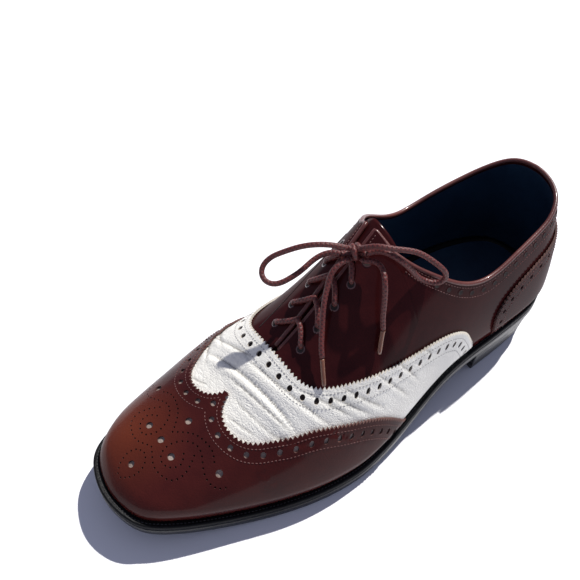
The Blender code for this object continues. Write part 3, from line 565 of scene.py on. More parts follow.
class Last:
    """The last's surface as a table over turn (round the edge) and angle (0 welt, 90 degrees ridge)."""

    def __init__(self):
        self.turns = np.arange(TABLE_TURNS) / TABLE_TURNS
        self.angles = np.linspace(0, math.pi / 2, TABLE_ANGLES)
        shown = section(along_of(outline(self.turns)[:, 1]))[:, 2]
        widest = edge_with_inset(self.turns, shown - TUCK)
        middle = np.clip(widest[:, 1], y_at(1.0) + TOE_FAN, y_at(0.0) - HEEL_FAN)
        self.centre = np.column_stack([section(along_of(middle))[:, 0] * BALL_WIDTH, middle])
        self.widest = widest
        powers = section(along_of(widest[:, 1]))[:, 3:]
        out = (np.cos(self.angles) ** 2)[None] ** (1 / powers[:, 1:2])
        up = (np.sin(self.angles) ** 2)[None] ** (1 / powers[:, 0:1])
        across = widest - self.centre
        plan = self.centre[:, None] + out[..., None] * across[:, None]
        self.foot = feather(widest[:, 1])
        ridge = section(along_of(plan[..., 1]))[..., 1] * INSTEP_HEIGHT
        height = self.foot[:, None] + (ridge - self.foot[:, None]) * up
        self.reach = out * np.linalg.norm(across, axis=1)[:, None]
        tuck = TUCK * np.clip(1 - (height - self.foot[:, None]) / TUCK_HEIGHT, 0, 1) ** 2
        inwards = -unit(across)
        plan = plan + tuck[..., None] * inwards[:, None]
        self.place = np.concatenate([plan, height[..., None]], axis=2)
        self.normal = self.make_normals()
        self.top = np.array([self.top_angle(k) for k in range(TABLE_TURNS)])

    def make_normals(self):
        round_edge = np.roll(self.place, -1, axis=0) - np.roll(self.place, 1, axis=0)
        upwards = np.gradient(self.place, axis=1)
        normal = np.cross(upwards, round_edge)
        slope = 1e-3
        ridge_y = self.centre[:, 1]
        rise = section(along_of(ridge_y + slope))[:, 1] - section(along_of(ridge_y - slope))[:, 1]
        normal[:, -1, 0] = 0
        normal[:, -1, 1] = -rise * INSTEP_HEIGHT / (2 * slope)
        normal[:, -1, 2] = 1
        return unit(normal)

    def top_angle(self, k):
        """Where the wall ends: the topline, the edge of a facing, or the ridge."""
        along = float(along_of(self.widest[k, 1]))
        if along < FACING_TOP_ALONG - 1e-6:
            side = 1 if self.turns[k] > 0.5 else 0
            height = topline(along)[side] * INSTEP_HEIGHT
            return float(np.interp(height, self.place[k, :, 2], self.angles))
        if along < THROAT_ALONG:
            share = (along - FACING_TOP_ALONG) / (THROAT_ALONG - FACING_TOP_ALONG)
            gap = FACING_GAP_TOP + share * (FACING_GAP_THROAT - FACING_GAP_TOP)
            return float(np.interp(-gap, -self.reach[k], self.angles))
        return math.pi / 2

    def turn_at(self, along, medial):
        """The turn whose plane crosses the last at this share of its length."""
        half = slice(TABLE_TURNS // 2, None) if medial else slice(0, TABLE_TURNS // 2)
        shares = along_of(self.widest[half, 1])
        order = np.argsort(shares)
        return np.interp(along, shares[order], self.turns[half][order])

    def at(self, turn, angle, offset=0.0):
        """Points of the surface, moved out along its normals by the offset."""
        turn = np.asarray(turn, float) % 1.0 * TABLE_TURNS
        row = np.asarray(angle, float) / (math.pi / 2) * (TABLE_ANGLES - 1)
        k = np.floor(turn).astype(int)
        j = np.clip(np.floor(row).astype(int), 0, TABLE_ANGLES - 2)
        a = (turn - k)[..., None]
        b = (row - j)[..., None]
        k0 = k % TABLE_TURNS
        k1 = (k + 1) % TABLE_TURNS

        def mixed(table):
            low = table[k0, j] * (1 - a) + table[k1, j] * a
            high = table[k0, j + 1] * (1 - a) + table[k1, j + 1] * a
            return low * (1 - b) + high * b

        return mixed(self.place) + unit(mixed(self.normal)) * (np.zeros(turn.shape) + offset)[..., None]

    def top_at(self, turn):
        turn = np.asarray(turn, float) % 1.0 * TABLE_TURNS
        k = np.floor(turn).astype(int)
        a = turn - k
        return self.top[k % TABLE_TURNS] * (1 - a) + self.top[(k + 1) % TABLE_TURNS] * a

    def flat(self, spot, offset=0.0):
        """Points for (x, y) spots on the upper rolled out flat to both sides of the ridge.

        The second number is the place along the ridge, and the first the way over the leather
        from it, out to the lateral side. Past the toe fan's centre the spots fan round it.
        Spots beyond the welt hang straight down from the foot of the wall.
        """
        spot = np.asarray(spot, float)
        centre_y = np.clip(spot[:, 1], y_at(1.0) + TOE_FAN, y_at(0.0) - HEEL_FAN)
        away = np.hypot(spot[:, 0], spot[:, 1] - centre_y)
        bearing = np.arctan2(spot[:, 0], centre_y - spot[:, 1])
        across = self.widest - self.centre
        fan = self.widest[:, 1] < y_at(1.0) + TOE_FAN
        fan_bearing = np.arctan2(across[fan, 0], -across[fan, 1])
        order = np.argsort(fan_bearing)
        in_fan = np.interp(bearing, fan_bearing[order], self.turns[fan][order])
        along = along_of(spot[:, 1])
        straight = np.where(spot[:, 0] < 0, self.turn_at(along, True), self.turn_at(along, False))
        turn = np.where(spot[:, 1] < y_at(1.0) + TOE_FAN, in_fan, straight)
        return self.down_from_ridge(turn, away, offset)

    def down_from_ridge(self, turn, away, offset=0.0):
        """Points at these ways over the leather from the ridge, in the planes of these turns."""
        steps = np.linalg.norm(np.diff(self.place, axis=1), axis=2)
        run = np.concatenate([np.zeros((TABLE_TURNS, 1)), np.cumsum(steps[:, ::-1], axis=1)], axis=1)
        nearest = np.round(turn * TABLE_TURNS).astype(int) % TABLE_TURNS
        angle = np.array([np.interp(w, run[k], self.angles[::-1]) for w, k in zip(away, nearest)])
        point = self.at(turn, angle, offset)
        point[:, 2] -= np.maximum(away - run[nearest, -1], 0)
        return point

    def spot_of(self, turn, past=0.0):
        """Flat spots this far past the foot of the wall."""
        k = np.round(np.asarray(turn) * TABLE_TURNS).astype(int) % TABLE_TURNS
        steps = np.linalg.norm(np.diff(self.place[k], axis=1), axis=2)
        away = steps.sum(axis=1) + past
        across = unit(self.widest[k] - self.centre[k])
        return np.column_stack([across[:, 0] * away, self.centre[k, 1] + across[:, 1] * away])

    def wall(self, spot, offset=0.0):
        """Points for (turn, height over the welt) spots on the standing walls."""
        spot = np.asarray(spot, float)
        nearest = np.round(spot[:, 0] * TABLE_TURNS).astype(int) % TABLE_TURNS
        height = self.foot[nearest] + spot[:, 1]
        angle = [np.interp(h, self.place[k, :, 2], self.angles) for h, k in zip(height, nearest)]
        point = self.at(spot[:, 0], np.array(angle), offset)
        point[:, 2] += np.minimum(spot[:, 1], 0)
        return point


def spaced(line, step, start=0.0, stop=0.0):
    """Points of a polyline at even steps, with its two ends cut back by start and stop."""
    run = way_along(line)
    count = max(2, int(round((run[-1] - start - stop) / step)) + 1)
    return at_ways(line, run, np.linspace(start, run[-1] - stop, count))


def smooth_line(table, spacing):
    """Even points on the cubic through a table's points."""
    points = np.array(table, float)
    run = way_along(points)
    return spline(run, points)(np.linspace(0, run[-1], int(math.ceil(run[-1] / spacing)) + 1))


def beside(line, distance):
    """A polyline moved sideways: to its right for a positive distance."""
    ahead = unit(np.gradient(line, axis=0))
    return line + distance * np.column_stack([ahead[:, 1], -ahead[:, 0]])


def pinked(line):
    """The line with teeth: every second point stands out to its left by the tooth's depth."""
    even = spaced(line, TOOTH_PITCH / 2)
    teeth = np.where(np.arange(len(even)) % 2 == 1, -TOOTH_DEPTH, 0.0)
    return even + (beside(even, 1.0) - even) * teeth[:, None]


def mirrored(line):
    return line[::-1] * (-1, 1)


def both_sides(points):
    """Spots and their mirror images, those on the ridge only once."""
    points = [tuple(p) for p in points]
    return points + [(-x, y) for x, y in points if abs(x) > 1e-4]


def crease_arc(crease, count):
    """A crease's middle line in mm at even shares t: (1 - t)^2 from + 2t(1 - t) through + t^2 to."""
    t = np.linspace(0, 1, count)
    s = t[:, None]
    return t, (1 - s) ** 2 * crease[0:2] + 2 * s * (1 - s) * crease[2:4] + s**2 * crease[4:6]


def near_crease(spots, crease, count):
    """Which spots lie near a crease; their distance, the crease's fade there, and their side.

    The fade is 1.5 x the half sine of the share run along the crease, at most 1. The last result
    is true on the ankle side.
    """
    t, arc = crease_arc(crease, count)
    near = (np.abs(spots - crease[2:4]) < CREASE_REACH).all(axis=1)
    away = spots[near][:, None] - arc
    gap = np.hypot(away[..., 0], away[..., 1])
    nearest = gap.argmin(axis=1)
    fade = np.clip(np.sin(t[nearest] * math.pi) * CREASE_FADE, 0, 1)
    return near, gap.min(axis=1), fade, away[np.arange(len(nearest)), nearest, 1] > 0


def crease_lift(spots):
    """Height over the smooth leather, summed over the creases.

    With r the signed distance over the breadth, positive on the ankle side, a crease adds
    fade x depth x (0.62 exp(-((r + 2.4) / 1.9)^2) - exp(-r^2)): a narrow trough, and a wider
    roll on its toe side.
    """
    lift = np.zeros(len(spots))
    for crease in CREASES:
        depth, breadth = crease[6:]
        near, gap, fade, ankle_side = near_crease(spots / MM, crease, 33)
        r = np.where(ankle_side, gap, -gap) / breadth
        roll = ROLL_HEIGHT * np.exp(-(((r + ROLL_PLACE) / ROLL_BREADTH) ** 2))
        lift[near] += fade * depth * (roll - np.exp(-(r**2)))
    return np.clip(lift, CREASE_LEAST, CREASE_MOST) * MM


def crease_shade_share(spots):
    """How deep in a trough a spot lies, from 0 to 1, for the shade painted there.

    The most over the creases of fade x min(1, 0.30 + depth) x exp(-(distance / 0.42 mm)^2).
    """
    result = np.zeros(len(spots))
    for crease in CREASES:
        near, gap, fade, _ = near_crease(spots / MM, crease, 65)
        mark = fade * min(1.0, CREASE_SHADE_LEAST + crease[6]) * np.exp(-((gap / CREASE_SHADE_BREADTH) ** 2))
        result[near] = np.maximum(result[near], mark)
    return result


def pressed(surface, spots):
    """Share of an overlay's stand-off: 0.22 at the welt, eased to 1 at 10 mm above it."""
    point = surface(spots, 0.0)
    share = np.clip((point[:, 2] - feather(point[:, 1])) / PRESSED_HEIGHT, 0, 1)
    return PRESSED_FOOT + (1 - PRESSED_FOOT) * share**2 * (3 - 2 * share)


def inside(points, polygon):
    """Which points a polygon holds: those with an odd number of its edges to their left."""
    result = np.zeros(len(points), bool)
    for a, b in zip(polygon, np.roll(polygon, -1, axis=0)):
        spans = (a[1] > points[:, 1]) != (b[1] > points[:, 1])
        rise = b[1] - a[1] if b[1] != a[1] else 1.0
        result ^= spans & (points[:, 0] < a[0] + (points[:, 1] - a[1]) * (b[0] - a[0]) / rise)
    return result


def add_mesh(name, points, faces, materials, indices=None, normals=None, smooth=True):
    mesh = bpy.data.meshes.new(name)
    mesh.from_pydata([tuple(p) for p in points], [], [tuple(f) for f in faces])
    for material in materials:
        mesh.materials.append(material)
    if indices is not None:
        mesh.polygons.foreach_set("material_index", np.asarray(indices, np.int32))
    mesh.polygons.foreach_set("use_smooth", np.full(len(mesh.polygons), smooth))
    mesh.update()
    if normals is not None:
        mesh.normals_split_custom_set_from_vertices([tuple(n) for n in normals])
    thing = bpy.data.objects.new(name, mesh)
    bpy.context.collection.objects.link(thing)
    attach(thing, "root")
    return thing


def grid_faces(count, depth, round_rows=False, round_depth=False):
    """Quads over rows of points: (row, place), (row, next place), (next row, next place), ..."""
    i, j = np.meshgrid(np.arange(count if round_rows else count - 1),
                       np.arange(depth if round_depth else depth - 1), indexing="ij")
    here, after = i * depth, (i + 1) % count * depth
    following = (j + 1) % depth
    return np.stack([here + j, here + following, after + following, after + j], axis=-1).reshape(-1, 4)


def circle(sides):
    turn = np.arange(sides) / sides * 2 * math.pi
    return np.cos(turn)[:, None], np.sin(turn)[:, None]


def grid_in(region, holes, spacing, coarse, creased):
    """Spots of a triangular grid inside the region, clear of its edge and of the holes.

    Where coarse(spots) holds, only every third spot of every third row stays. A creased sheet
    gets the creases' middle lines in place of the spots next to them.
    """
    low, high = region.min(axis=0), region.max(axis=0)
    xs = np.arange(low[0], high[0], spacing)
    ys = np.arange(low[1], high[1], spacing * 0.87)
    grid = np.stack(np.meshgrid(xs, ys), axis=-1)
    grid[1::2, :, 0] += spacing / 2
    if coarse is not None:
        keep = np.zeros(grid.shape[:2], bool)
        keep[::3, ::3] = True
        grid = grid[~coarse(grid.reshape(-1, 2)).reshape(keep.shape) | keep]
    grid = grid.reshape(-1, 2)
    if creased:
        arcs = [crease_arc(crease, 200)[1] * MM for crease in CREASES]
        lines = np.concatenate([spaced(arc, CREASE_STEP, CREASE_ENDS, CREASE_ENDS) for arc in arcs])
        clear = [np.min(np.hypot(*(part[:, None] - lines).transpose(2, 0, 1)), axis=1) > CREASE_CLEAR
                 for part in np.array_split(grid, 40)]
        grid = np.concatenate([grid[np.concatenate(clear)], lines])
    grid = grid[inside(grid, region)]
    rims = [region]
    for centre, radius in holes:
        across, up = circle(HOLE_SIDES if radius > PIN_LARGEST else PIN_SIDES)
        rims.append(np.array(centre) + radius * np.hstack([across, up]))
    solid = np.concatenate(rims)
    for part in np.split(solid, range(200, len(solid), 200)):
        gap = np.min(np.hypot(grid[:, None, 0] - part[:, 0], grid[:, None, 1] - part[:, 1]), axis=1)
        grid = grid[gap > 0.45 * spacing]
    for centre, radius in holes:
        grid = grid[np.hypot(*(grid - centre).T) > radius + HOLE_MARGIN]
    return rims, grid


def triangulated(rims, grid):
    """Triangles over the rims and the grid, all wound one way, with every rim kept as edges.

    The triangulation works in mm, where its own tolerance is fine enough.
    """
    edges = []
    start = 0
    for rim in rims:
        edges += [(start + i, start + (i + 1) % len(rim)) for i in range(len(rim))]
        start += len(rim)
    scale = 1000.0
    spots, _, faces, *_ = delaunay_2d_cdt(
        [Vector(p) for p in np.concatenate(rims + [grid]) * scale], edges, [], 1, 1e-5)
    spots = np.array([tuple(p) for p in spots]) / scale
    faces = np.array([tuple(f) for f in faces])
    a, b, c = spots[faces[:, 0]], spots[faces[:, 1]], spots[faces[:, 2]]
    area = (b[:, 0] - a[:, 0]) * (c[:, 1] - a[:, 1]) - (b[:, 1] - a[:, 1]) * (c[:, 0] - a[:, 0])
    faces[area < 0] = faces[area < 0][:, ::-1]
    return spots, faces


def cut_sheet(name, region, holes, surface, lift, thick, materials, coarse=None, creased=False):
    """A leather sheet cut in the flat, with real holes, laid on the last with its own thickness.

    Top points are surface(spot, pressed x (lift + thick) + crease), and the lower ones lie
    pressed x thick along the normal under them. The normal is the cross product of the surface's
    own steps along x and y. Edges and holes get walls with sharp rims, and each hole is closed
    below by a patch painted in the shade that the hole shows. The materials are those of the face,
    the cut, and the painted shade patches of the holes and of the pinholes.
    """
    rims, grid = grid_in(region, holes, VAMP_SPACING if creased else SHEET_SPACING, coarse, creased)
    spots, faces = triangulated(rims, grid)
    middle = spots[faces].mean(axis=1)
    kind = np.zeros(len(faces), int)
    for centre, radius in holes:
        kind[np.hypot(*(middle - centre).T) < radius] = 2 if radius > PIN_LARGEST else 3
    share = pressed(surface, spots)
    step = 0.0004

    def place(at):
        crease = crease_lift(at) if surface == last.flat else 0.0
        return surface(at, (lift + thick) * pressed(surface, at) + crease)

    top = place(spots)
    normal = unit(np.cross(place(spots + (step, 0)) - place(spots - (step, 0)),
                           place(spots + (0, step)) - place(spots - (0, step))))
    outwards = surface(spots, 0.01) - surface(spots, 0.0)
    flip = (normal * outwards).sum(axis=1) < 0
    if flip.mean() > 0.5:
        faces = faces[:, ::-1]
    normal[flip] *= -1
    low = top - normal * thick * share[:, None]
    total = len(spots)
    bottoms, bottom_kind = faces[kind > 0], kind[kind > 0]
    faces = faces[kind == 0]
    used = np.concatenate([faces[:, [0, 1]], faces[:, [1, 2]], faces[:, [2, 0]]])
    key = used[:, 0] * total + used[:, 1]
    a, b = used[~np.isin(key, used[:, 1] * total + used[:, 0])].T
    walls = np.column_stack([b + 2 * total, a + 2 * total, a + 3 * total, b + 3 * total])
    every = faces.tolist() + (faces[:, ::-1] + total).tolist()
    every += walls.tolist() + (bottoms + 4 * total).tolist()
    indices = np.r_[np.zeros(2 * len(faces)), np.ones(len(walls)), bottom_kind]
    side = np.zeros((total, 3))
    outward = np.cross(top[b] - top[a], normal[a])
    np.add.at(side, a, outward)
    np.add.at(side, b, outward)
    side /= np.maximum(np.linalg.norm(side, axis=1, keepdims=True), 1e-12)
    thing = add_mesh(name, np.concatenate([top, low, top, low, low]), every, materials, indices,
                     np.concatenate([normal, -normal, side, side, normal]))
    # A creased sheet keeps, at each point, the share of shade painted into its crease troughs.
    if creased:
        painted_crease_shade = thing.data.attributes.new("painted_crease_shade", "FLOAT", "POINT")
        painted_crease_shade.data.foreach_set("value", np.tile(crease_shade_share(spots), 5).astype(np.float32))
    return thing


def stitches(name, lines, material):
    """Rows of short sunk threads, each a low lens along its line.

    With T the thread's radius, its two ends lie 0.6 T under the line. Three cross-sections of
    width w (0.85, 1 and 0.85) have sides w T out and 0.4 T under, and a top w T over the line.
    """
    rows = []
    for line, up in lines:
        run = way_along(line)
        centres = np.arange(STITCH_PITCH / 2, run[-1], STITCH_PITCH)
        start, middle, stop = (at_ways(line, run, centres + part * STITCH_LENGTH) for part in (-0.5, 0, 0.5))
        rise = at_ways(up, run, centres) * THREAD
        side = np.cross(rise, unit(stop - start))
        corners = [start - rise * 0.6, stop - rise * 0.6]
        for centre, wide in ((start * 0.75 + middle * 0.25, 0.85), (middle, 1.0),
                             (stop * 0.75 + middle * 0.25, 0.85)):
            under = centre - rise * 0.4
            corners += [under - side * wide, centre + rise * wide, under + side * wide]
        rows.append(np.stack(corners, axis=1).reshape(-1, 3))
    points = np.concatenate(rows)
    faces = [[base + corner for corner in face]
             for base in range(0, len(points), STITCH_CORNERS) for face in STITCH_FACES]
    add_mesh(name, points, faces, [material])


def seam_over(line, lift, surface):
    """A line laid on a surface: its points and the way out of the leather."""
    height = lift * pressed(surface, line)
    if surface == last.flat:
        height = height + crease_lift(line)
    point = surface(line, height)
    return point, unit(surface(line, height + NORMAL_STEP) - point)


def tube(name, path, radius, material, sides=12, taper=None):
    """A round cord along a path, with a UV map that follows it for the braid."""
    ahead = unit(np.gradient(path, axis=0))
    side = np.cross(ahead[0], (0.31, 0.17, 1.0))
    rings = []
    across, along = circle(sides)
    for point, forward, r in zip(path, ahead, np.full(len(path), radius) if taper is None else taper):
        side = unit(side - forward * np.dot(side, forward))
        rings.append(point + r * (across * side + along * np.cross(forward, side)))
    count = len(path)
    faces = grid_faces(count, sides, round_depth=True).tolist()
    faces += [range(sides)[::-1], range((count - 1) * sides, count * sides)]
    thing = add_mesh(name, np.concatenate(rings), faces, [material])
    run = way_along(path)
    loops = np.zeros(len(thing.data.loops), np.int32)
    thing.data.loops.foreach_get("vertex_index", loops)
    uv = np.column_stack([(loops % sides) / sides, run[np.minimum(loops // sides, count - 1)] / MM])
    thing.data.uv_layers.new(name="along").data.foreach_set("uv", uv.ravel())
    return thing


def route(points, step=CORD_STEP):
    return smooth_line(np.array(points) * MM, step)


def add_node(tree, kind, settings=None, inputs=None):
    """A shader node with its settings; each input takes a value or another node's output."""
    made = tree.nodes.new("ShaderNode" + kind)
    for name, value in (settings or {}).items():
        setattr(made, name, value)
    for key, value in (inputs or {}).items():
        if isinstance(value, bpy.types.NodeSocket):
            tree.links.new(value, made.inputs[key])
        else:
            made.inputs[key].default_value = value
    return made


def new_material(name):
    material = bpy.data.materials.new(name)
    material.use_nodes = True
    return material, material.node_tree, material.node_tree.nodes["Principled BSDF"]


def mixed_colour(tree, factor, first, second):
    """Two colours mixed; either may be a value without alpha or another node's output."""
    first, second = (colour if isinstance(colour, bpy.types.NodeSocket) else (*colour, 1)
                     for colour in (first, second))
    node = add_node(tree, "Mix", {"data_type": "RGBA"}, {"A": first, "B": second, "Factor": factor})
    return node.outputs["Result"]


def relief(tree, shader, height, strength, distance):
    bump = add_node(tree, "Bump", {}, {"Strength": strength, "Distance": distance, "Height": height})
    tree.links.new(bump.outputs["Normal"], shader.inputs["Normal"])


def grain_group():
    """Leather over Object coordinates: Height for relief, and Shade, a slow noise of wear.

    Height = pebble + 0.35 pore + Wrinkle x vein. The pebble rises from the edges of warped cells,
    the pore is a fine noise, and a vein is a thin valley where a drawn-out noise crosses 0.5.
    """
    group = bpy.data.node_groups.new("leather grain", "ShaderNodeTree")
    for label in ("Pebble Size", "Pore Size", "Wrinkle"):
        group.interface.new_socket(label, in_out="INPUT", socket_type="NodeSocketFloat")
    for label in ("Height", "Shade"):
        group.interface.new_socket(label, in_out="OUTPUT", socket_type="NodeSocketFloat")
    take = group.nodes.new("NodeGroupInput")
    give = group.nodes.new("NodeGroupOutput")
    place = add_node(group, "TexCoord").outputs["Object"]
    warp = add_node(group, "TexNoise", {}, {"Vector": place, "Scale": 90, "Detail": 2})
    warped = add_node(group, "VectorMath", {"operation": "MULTIPLY_ADD"},
                      {0: warp.outputs["Color"], 1: (0.004, 0.004, 0.004), 2: place}).outputs[0]
    cells = add_node(group, "TexVoronoi", {"feature": "DISTANCE_TO_EDGE"},
                     {"Vector": warped, "Scale": take.outputs["Pebble Size"]})
    pebble = add_node(group, "MapRange", {"interpolation_type": "SMOOTHSTEP"},
                      {"Value": cells.outputs["Distance"], "From Max": 0.16})
    pores = add_node(group, "TexNoise", {},
                     {"Vector": place, "Scale": take.outputs["Pore Size"], "Detail": 6})
    both = add_node(group, "Math", {"operation": "MULTIPLY_ADD"},
                    {0: pores.outputs["Fac"], 1: 0.35, 2: pebble.outputs["Result"]})
    drawn = add_node(group, "Mapping", {},
                     {"Vector": warped, "Rotation": (0, 0, -0.25), "Scale": (0.32, 1.0, 0.8)})
    ridges = add_node(group, "TexNoise", {},
                      {"Vector": drawn.outputs["Vector"], "Scale": 300, "Detail": 3, "Distortion": 1.2})
    apart = add_node(group, "Math", {"operation": "SUBTRACT"}, {0: ridges.outputs["Fac"], 1: 0.5})
    away = add_node(group, "Math", {"operation": "ABSOLUTE"}, {0: apart.outputs[0]})
    vein = add_node(group, "MapRange", {"interpolation_type": "SMOOTHSTEP"},
                    {"Value": away.outputs[0], "From Max": 0.05})
    height = add_node(group, "Math", {"operation": "MULTIPLY_ADD"},
                      {0: vein.outputs["Result"], 1: take.outputs["Wrinkle"], 2: both.outputs[0]})
    slow = add_node(group, "TexNoise", {}, {"Vector": place, "Scale": 22, "Detail": 4, "Roughness": 0.65})
    group.links.new(height.outputs[0], give.inputs["Height"])
    group.links.new(slow.outputs["Fac"], give.inputs["Shade"])
    return group


def leather(name, dark, light, roughness, pebble, pore, bump, coat=0.0, coat_roughness=0.1, patch=None,
            wrinkle=0.0, gloss=0.5, painted_crease_shade=None):
    """Leather: two shades mixed by wear, relief from the grain group, gloss from the coat.

    A patch (centre, size, colour) tints an ellipsoid of the piece, strongest at its centre. A
    painted crease shade colour tints by the mesh's own painted_crease_shade attribute, as painted shade.
    """
    material, tree, shader = new_material(name)
    grain = tree.nodes.new("ShaderNodeGroup")
    grain.node_tree = grain_tree
    for label, value in (("Pebble Size", pebble), ("Pore Size", pore), ("Wrinkle", wrinkle)):
        grain.inputs[label].default_value = value
    wear = add_node(tree, "MapRange", {},
                    {"Value": grain.outputs["Shade"], "From Min": 0.35, "From Max": 0.68})
    colour = mixed_colour(tree, wear.outputs["Result"], dark, light)
    if patch is not None:
        centre, size, tint = patch
        place = add_node(tree, "TexCoord").outputs["Object"]
        shift = [-c / s for c, s in zip(centre, size)]
        mapping = add_node(tree, "Mapping", {"vector_type": "POINT"},
                           {"Vector": place, "Location": shift, "Scale": [1 / s for s in size]})
        ball = add_node(tree, "TexGradient", {"gradient_type": "SPHERICAL"},
                        {"Vector": mapping.outputs["Vector"]})
        colour = mixed_colour(tree, ball.outputs["Fac"], colour, tint)
    if painted_crease_shade is not None:
        depth = add_node(tree, "Attribute", {"attribute_name": "painted_crease_shade"})
        colour = mixed_colour(tree, depth.outputs["Fac"], colour, painted_crease_shade)
    tree.links.new(colour, shader.inputs["Base Color"])
    rough = add_node(tree, "MapRange", {}, {
        "Value": grain.outputs["Shade"], "To Min": roughness * 0.82, "To Max": roughness * 1.22})
    tree.links.new(rough.outputs["Result"], shader.inputs["Roughness"])
    relief(tree, shader, grain.outputs["Height"], bump, 0.0006)
    shader.inputs["Specular IOR Level"].default_value = gloss
    shader.inputs["Coat Weight"].default_value = coat
    shader.inputs["Coat Roughness"].default_value = coat_roughness
    return material


def cord_material(name, dark, light, roughness):
    """Waxed braid: the higher of two slanted waves that cross over the cord's own UV map."""
    material, tree, shader = new_material(name)
    place = add_node(tree, "UVMap", {"uv_map": "along"}).outputs["UV"]
    waves = []
    for lean in (0.55, -0.55):
        mapping = add_node(tree, "Mapping", {}, {"Vector": place, "Scale": (4.0, lean, 1)})
        wave = add_node(tree, "TexWave", {"bands_direction": "DIAGONAL"},
                        {"Vector": mapping.outputs["Vector"], "Scale": 0.55})
        waves.append(wave.outputs["Fac"])
    braid_height_and_painted_light = add_node(tree, "Math", {"operation": "MAXIMUM"}, {0: waves[0], 1: waves[1]}).outputs[0]
    # The braid's low parts take the dark colour and its crests the light one: painted shade and painted
    # light.
    tree.links.new(mixed_colour(tree, braid_height_and_painted_light, dark, light), shader.inputs["Base Color"])
    relief(tree, shader, braid_height_and_painted_light, 0.6, 0.0003)
    shader.inputs["Roughness"].default_value = roughness
    return material


def forepart_sheet(name, edge_table, lift, materials, holes, coarse=None, creased=False):
    """A sheet of the forepart, from its pinked edge down to the welt all round the toe."""
    teeth = pinked(smooth_line(edge_table, 1.0) * MM)
    edge = np.concatenate([mirrored(teeth)[:-1], teeth])
    foot = last.flat(edge, lift)
    edge = edge[foot[:, 2] > feather(foot[:, 1]) + EDGE_OVER_WELT]
    rim = last.spot_of(last.turns, BORDER_PAST)
    ends = [last.turns[np.argmin(np.linalg.norm(rim - spot, axis=1))] for spot in (edge[-1], edge[0])]
    border = last.spot_of(np.linspace(ends[0], ends[1], BORDER_POINTS), BORDER_PAST)
    base = last.flat(np.array([centre for centre, _ in holes]), 0.0)
    clear = base[:, 2] > feather(base[:, 1]) + HOLE_OVER_WELT
    holes = [hole for hole, fits in zip(holes, clear) if fits]
    return cut_sheet(name, np.concatenate([edge, border]), holes, last.flat, lift, OVERLAY_THICK,
                     materials, coarse, creased)


def edge_row(edge_table, start, stop):
    """The punched row along one half edge and its mirror: centres with the holes' radius."""
    row = beside(smooth_line(edge_table, 1.0) * MM, HOLE_INSET)
    return [(centre, HOLE_RADIUS) for centre in both_sides(spaced(row, HOLE_PITCH, start, stop))]


def edge_stitches(edge_table, lift):
    """The two stitch rows along an edge of the forepart, cut off above the welt."""
    lines = []
    half = smooth_line(edge_table, 1.0) * MM
    for distance in (STITCH_NEAR, STITCH_FAR):
        row = spaced(beside(half, distance), SEAM_STEP)
        row = row[row[:, 0] > 0.0002]
        for line in (row, row * (-1, 1)):
            point, up = seam_over(line, lift, last.flat)
            above = point[:, 2] > feather(point[:, 1]) + STITCH_OVER_WELT
            lines.append((point[above], up[above]))
    return lines


def make_forepart(brown, white, cut_brown, cut_white, thread, pale_thread, shade, dark):
    """The vamp, and the wing cap over it with its medallion."""
    vamp_top = OVERLAY_CLEAR + OVERLAY_THICK
    cap_lift = vamp_top + OVERLAY_CLEAR
    wing = smooth_line(WING_EDGE, 4.0) * MM
    wing_x = np.r_[-wing[::-1, 0], wing[1:, 0]]
    wing_y = np.r_[wing[::-1, 1], wing[1:, 1]]

    def covered(spots):
        return spots[:, 1] < np.interp(spots[:, 0], wing_x, wing_y) - VAMP_COVERED

    # The vamp's holes and pinholes are closed below by the near-black painted shade.
    vamp = forepart_sheet("vamp_leather", VAMP_EDGE, OVERLAY_CLEAR, [white, cut_white, dark, dark],
                          edge_row(VAMP_EDGE, 0.004, 0.004), covered, creased=True)
    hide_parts("vamp")
    cap_holes = edge_row(WING_EDGE, 0.0075, 0.004)
    cap_holes += [(centre, LARGE_RADIUS) for centre in both_sides(np.array(MEDALLION_LARGE) * MM)]
    dots = []
    for curve in MEDALLION_CURVES:
        dots += both_sides(spaced(smooth_line(curve, 0.2) * MM, PIN_PITCH))
    for dot in dots:
        if min(math.dist(dot, centre) for centre, _ in cap_holes) > PIN_CLEAR:
            cap_holes.append((dot, PIN_RADIUS))
    # The cap's holes are closed below by the grey-brown painted shade, and its pinholes by the near-black
    # painted shade.
    cap = forepart_sheet("wing_cap_leather", WING_EDGE, cap_lift, [brown, cut_brown, shade, dark], cap_holes)
    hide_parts("wing_cap")
    stitches("wing_cap_stitches", edge_stitches(WING_EDGE, cap_lift + OVERLAY_THICK), thread)
    stitches("vamp_stitches", edge_stitches(VAMP_EDGE, vamp_top), pale_thread)


def make_counter(brown, cut_brown, thread, dark):
    """The heel counter, cut in the flat where x is the way round the heel and y the height."""
    half = smooth_line(np.array(COUNTER_EDGE) * (COUNTER_GIRTH / MM, 1), 1.0) * MM

    def surface(spots, offset=0.0):
        return last.wall(spots / (COUNTER_GIRTH, 1), offset)

    teeth = pinked(half)
    edge = np.concatenate([mirrored(teeth)[:-1], teeth])
    foot = np.linspace(half[-1, 0], -half[-1, 0], COUNTER_FOOT_POINTS + 2)[1:-1]
    region = np.concatenate([edge, np.column_stack([foot, np.full(len(foot), -COUNTER_PAST)])])
    row = spaced(beside(half, HOLE_INSET), HOLE_PITCH, 0.004, 0.004)
    holes = [(centre, HOLE_RADIUS) for centre in both_sides(row)]
    # Its holes are closed below by the near-black painted shade.
    counter = cut_sheet("heel_counter_leather", region, holes, surface, OVERLAY_CLEAR, OVERLAY_THICK,
                        [brown, cut_brown, dark, dark])
    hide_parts("heel_counter")
    lines = []
    for distance in (STITCH_NEAR, STITCH_FAR):
        line = spaced(beside(half, distance), SEAM_STEP)
        line = line[(line[:, 1] > 0.001) & (line[:, 0] > 0)]
        lines += [seam_over(side, OVERLAY_CLEAR + OVERLAY_THICK, surface) for side in (line, line * (-1, 1))]
    stitches("heel_counter_stitches", lines, thread)


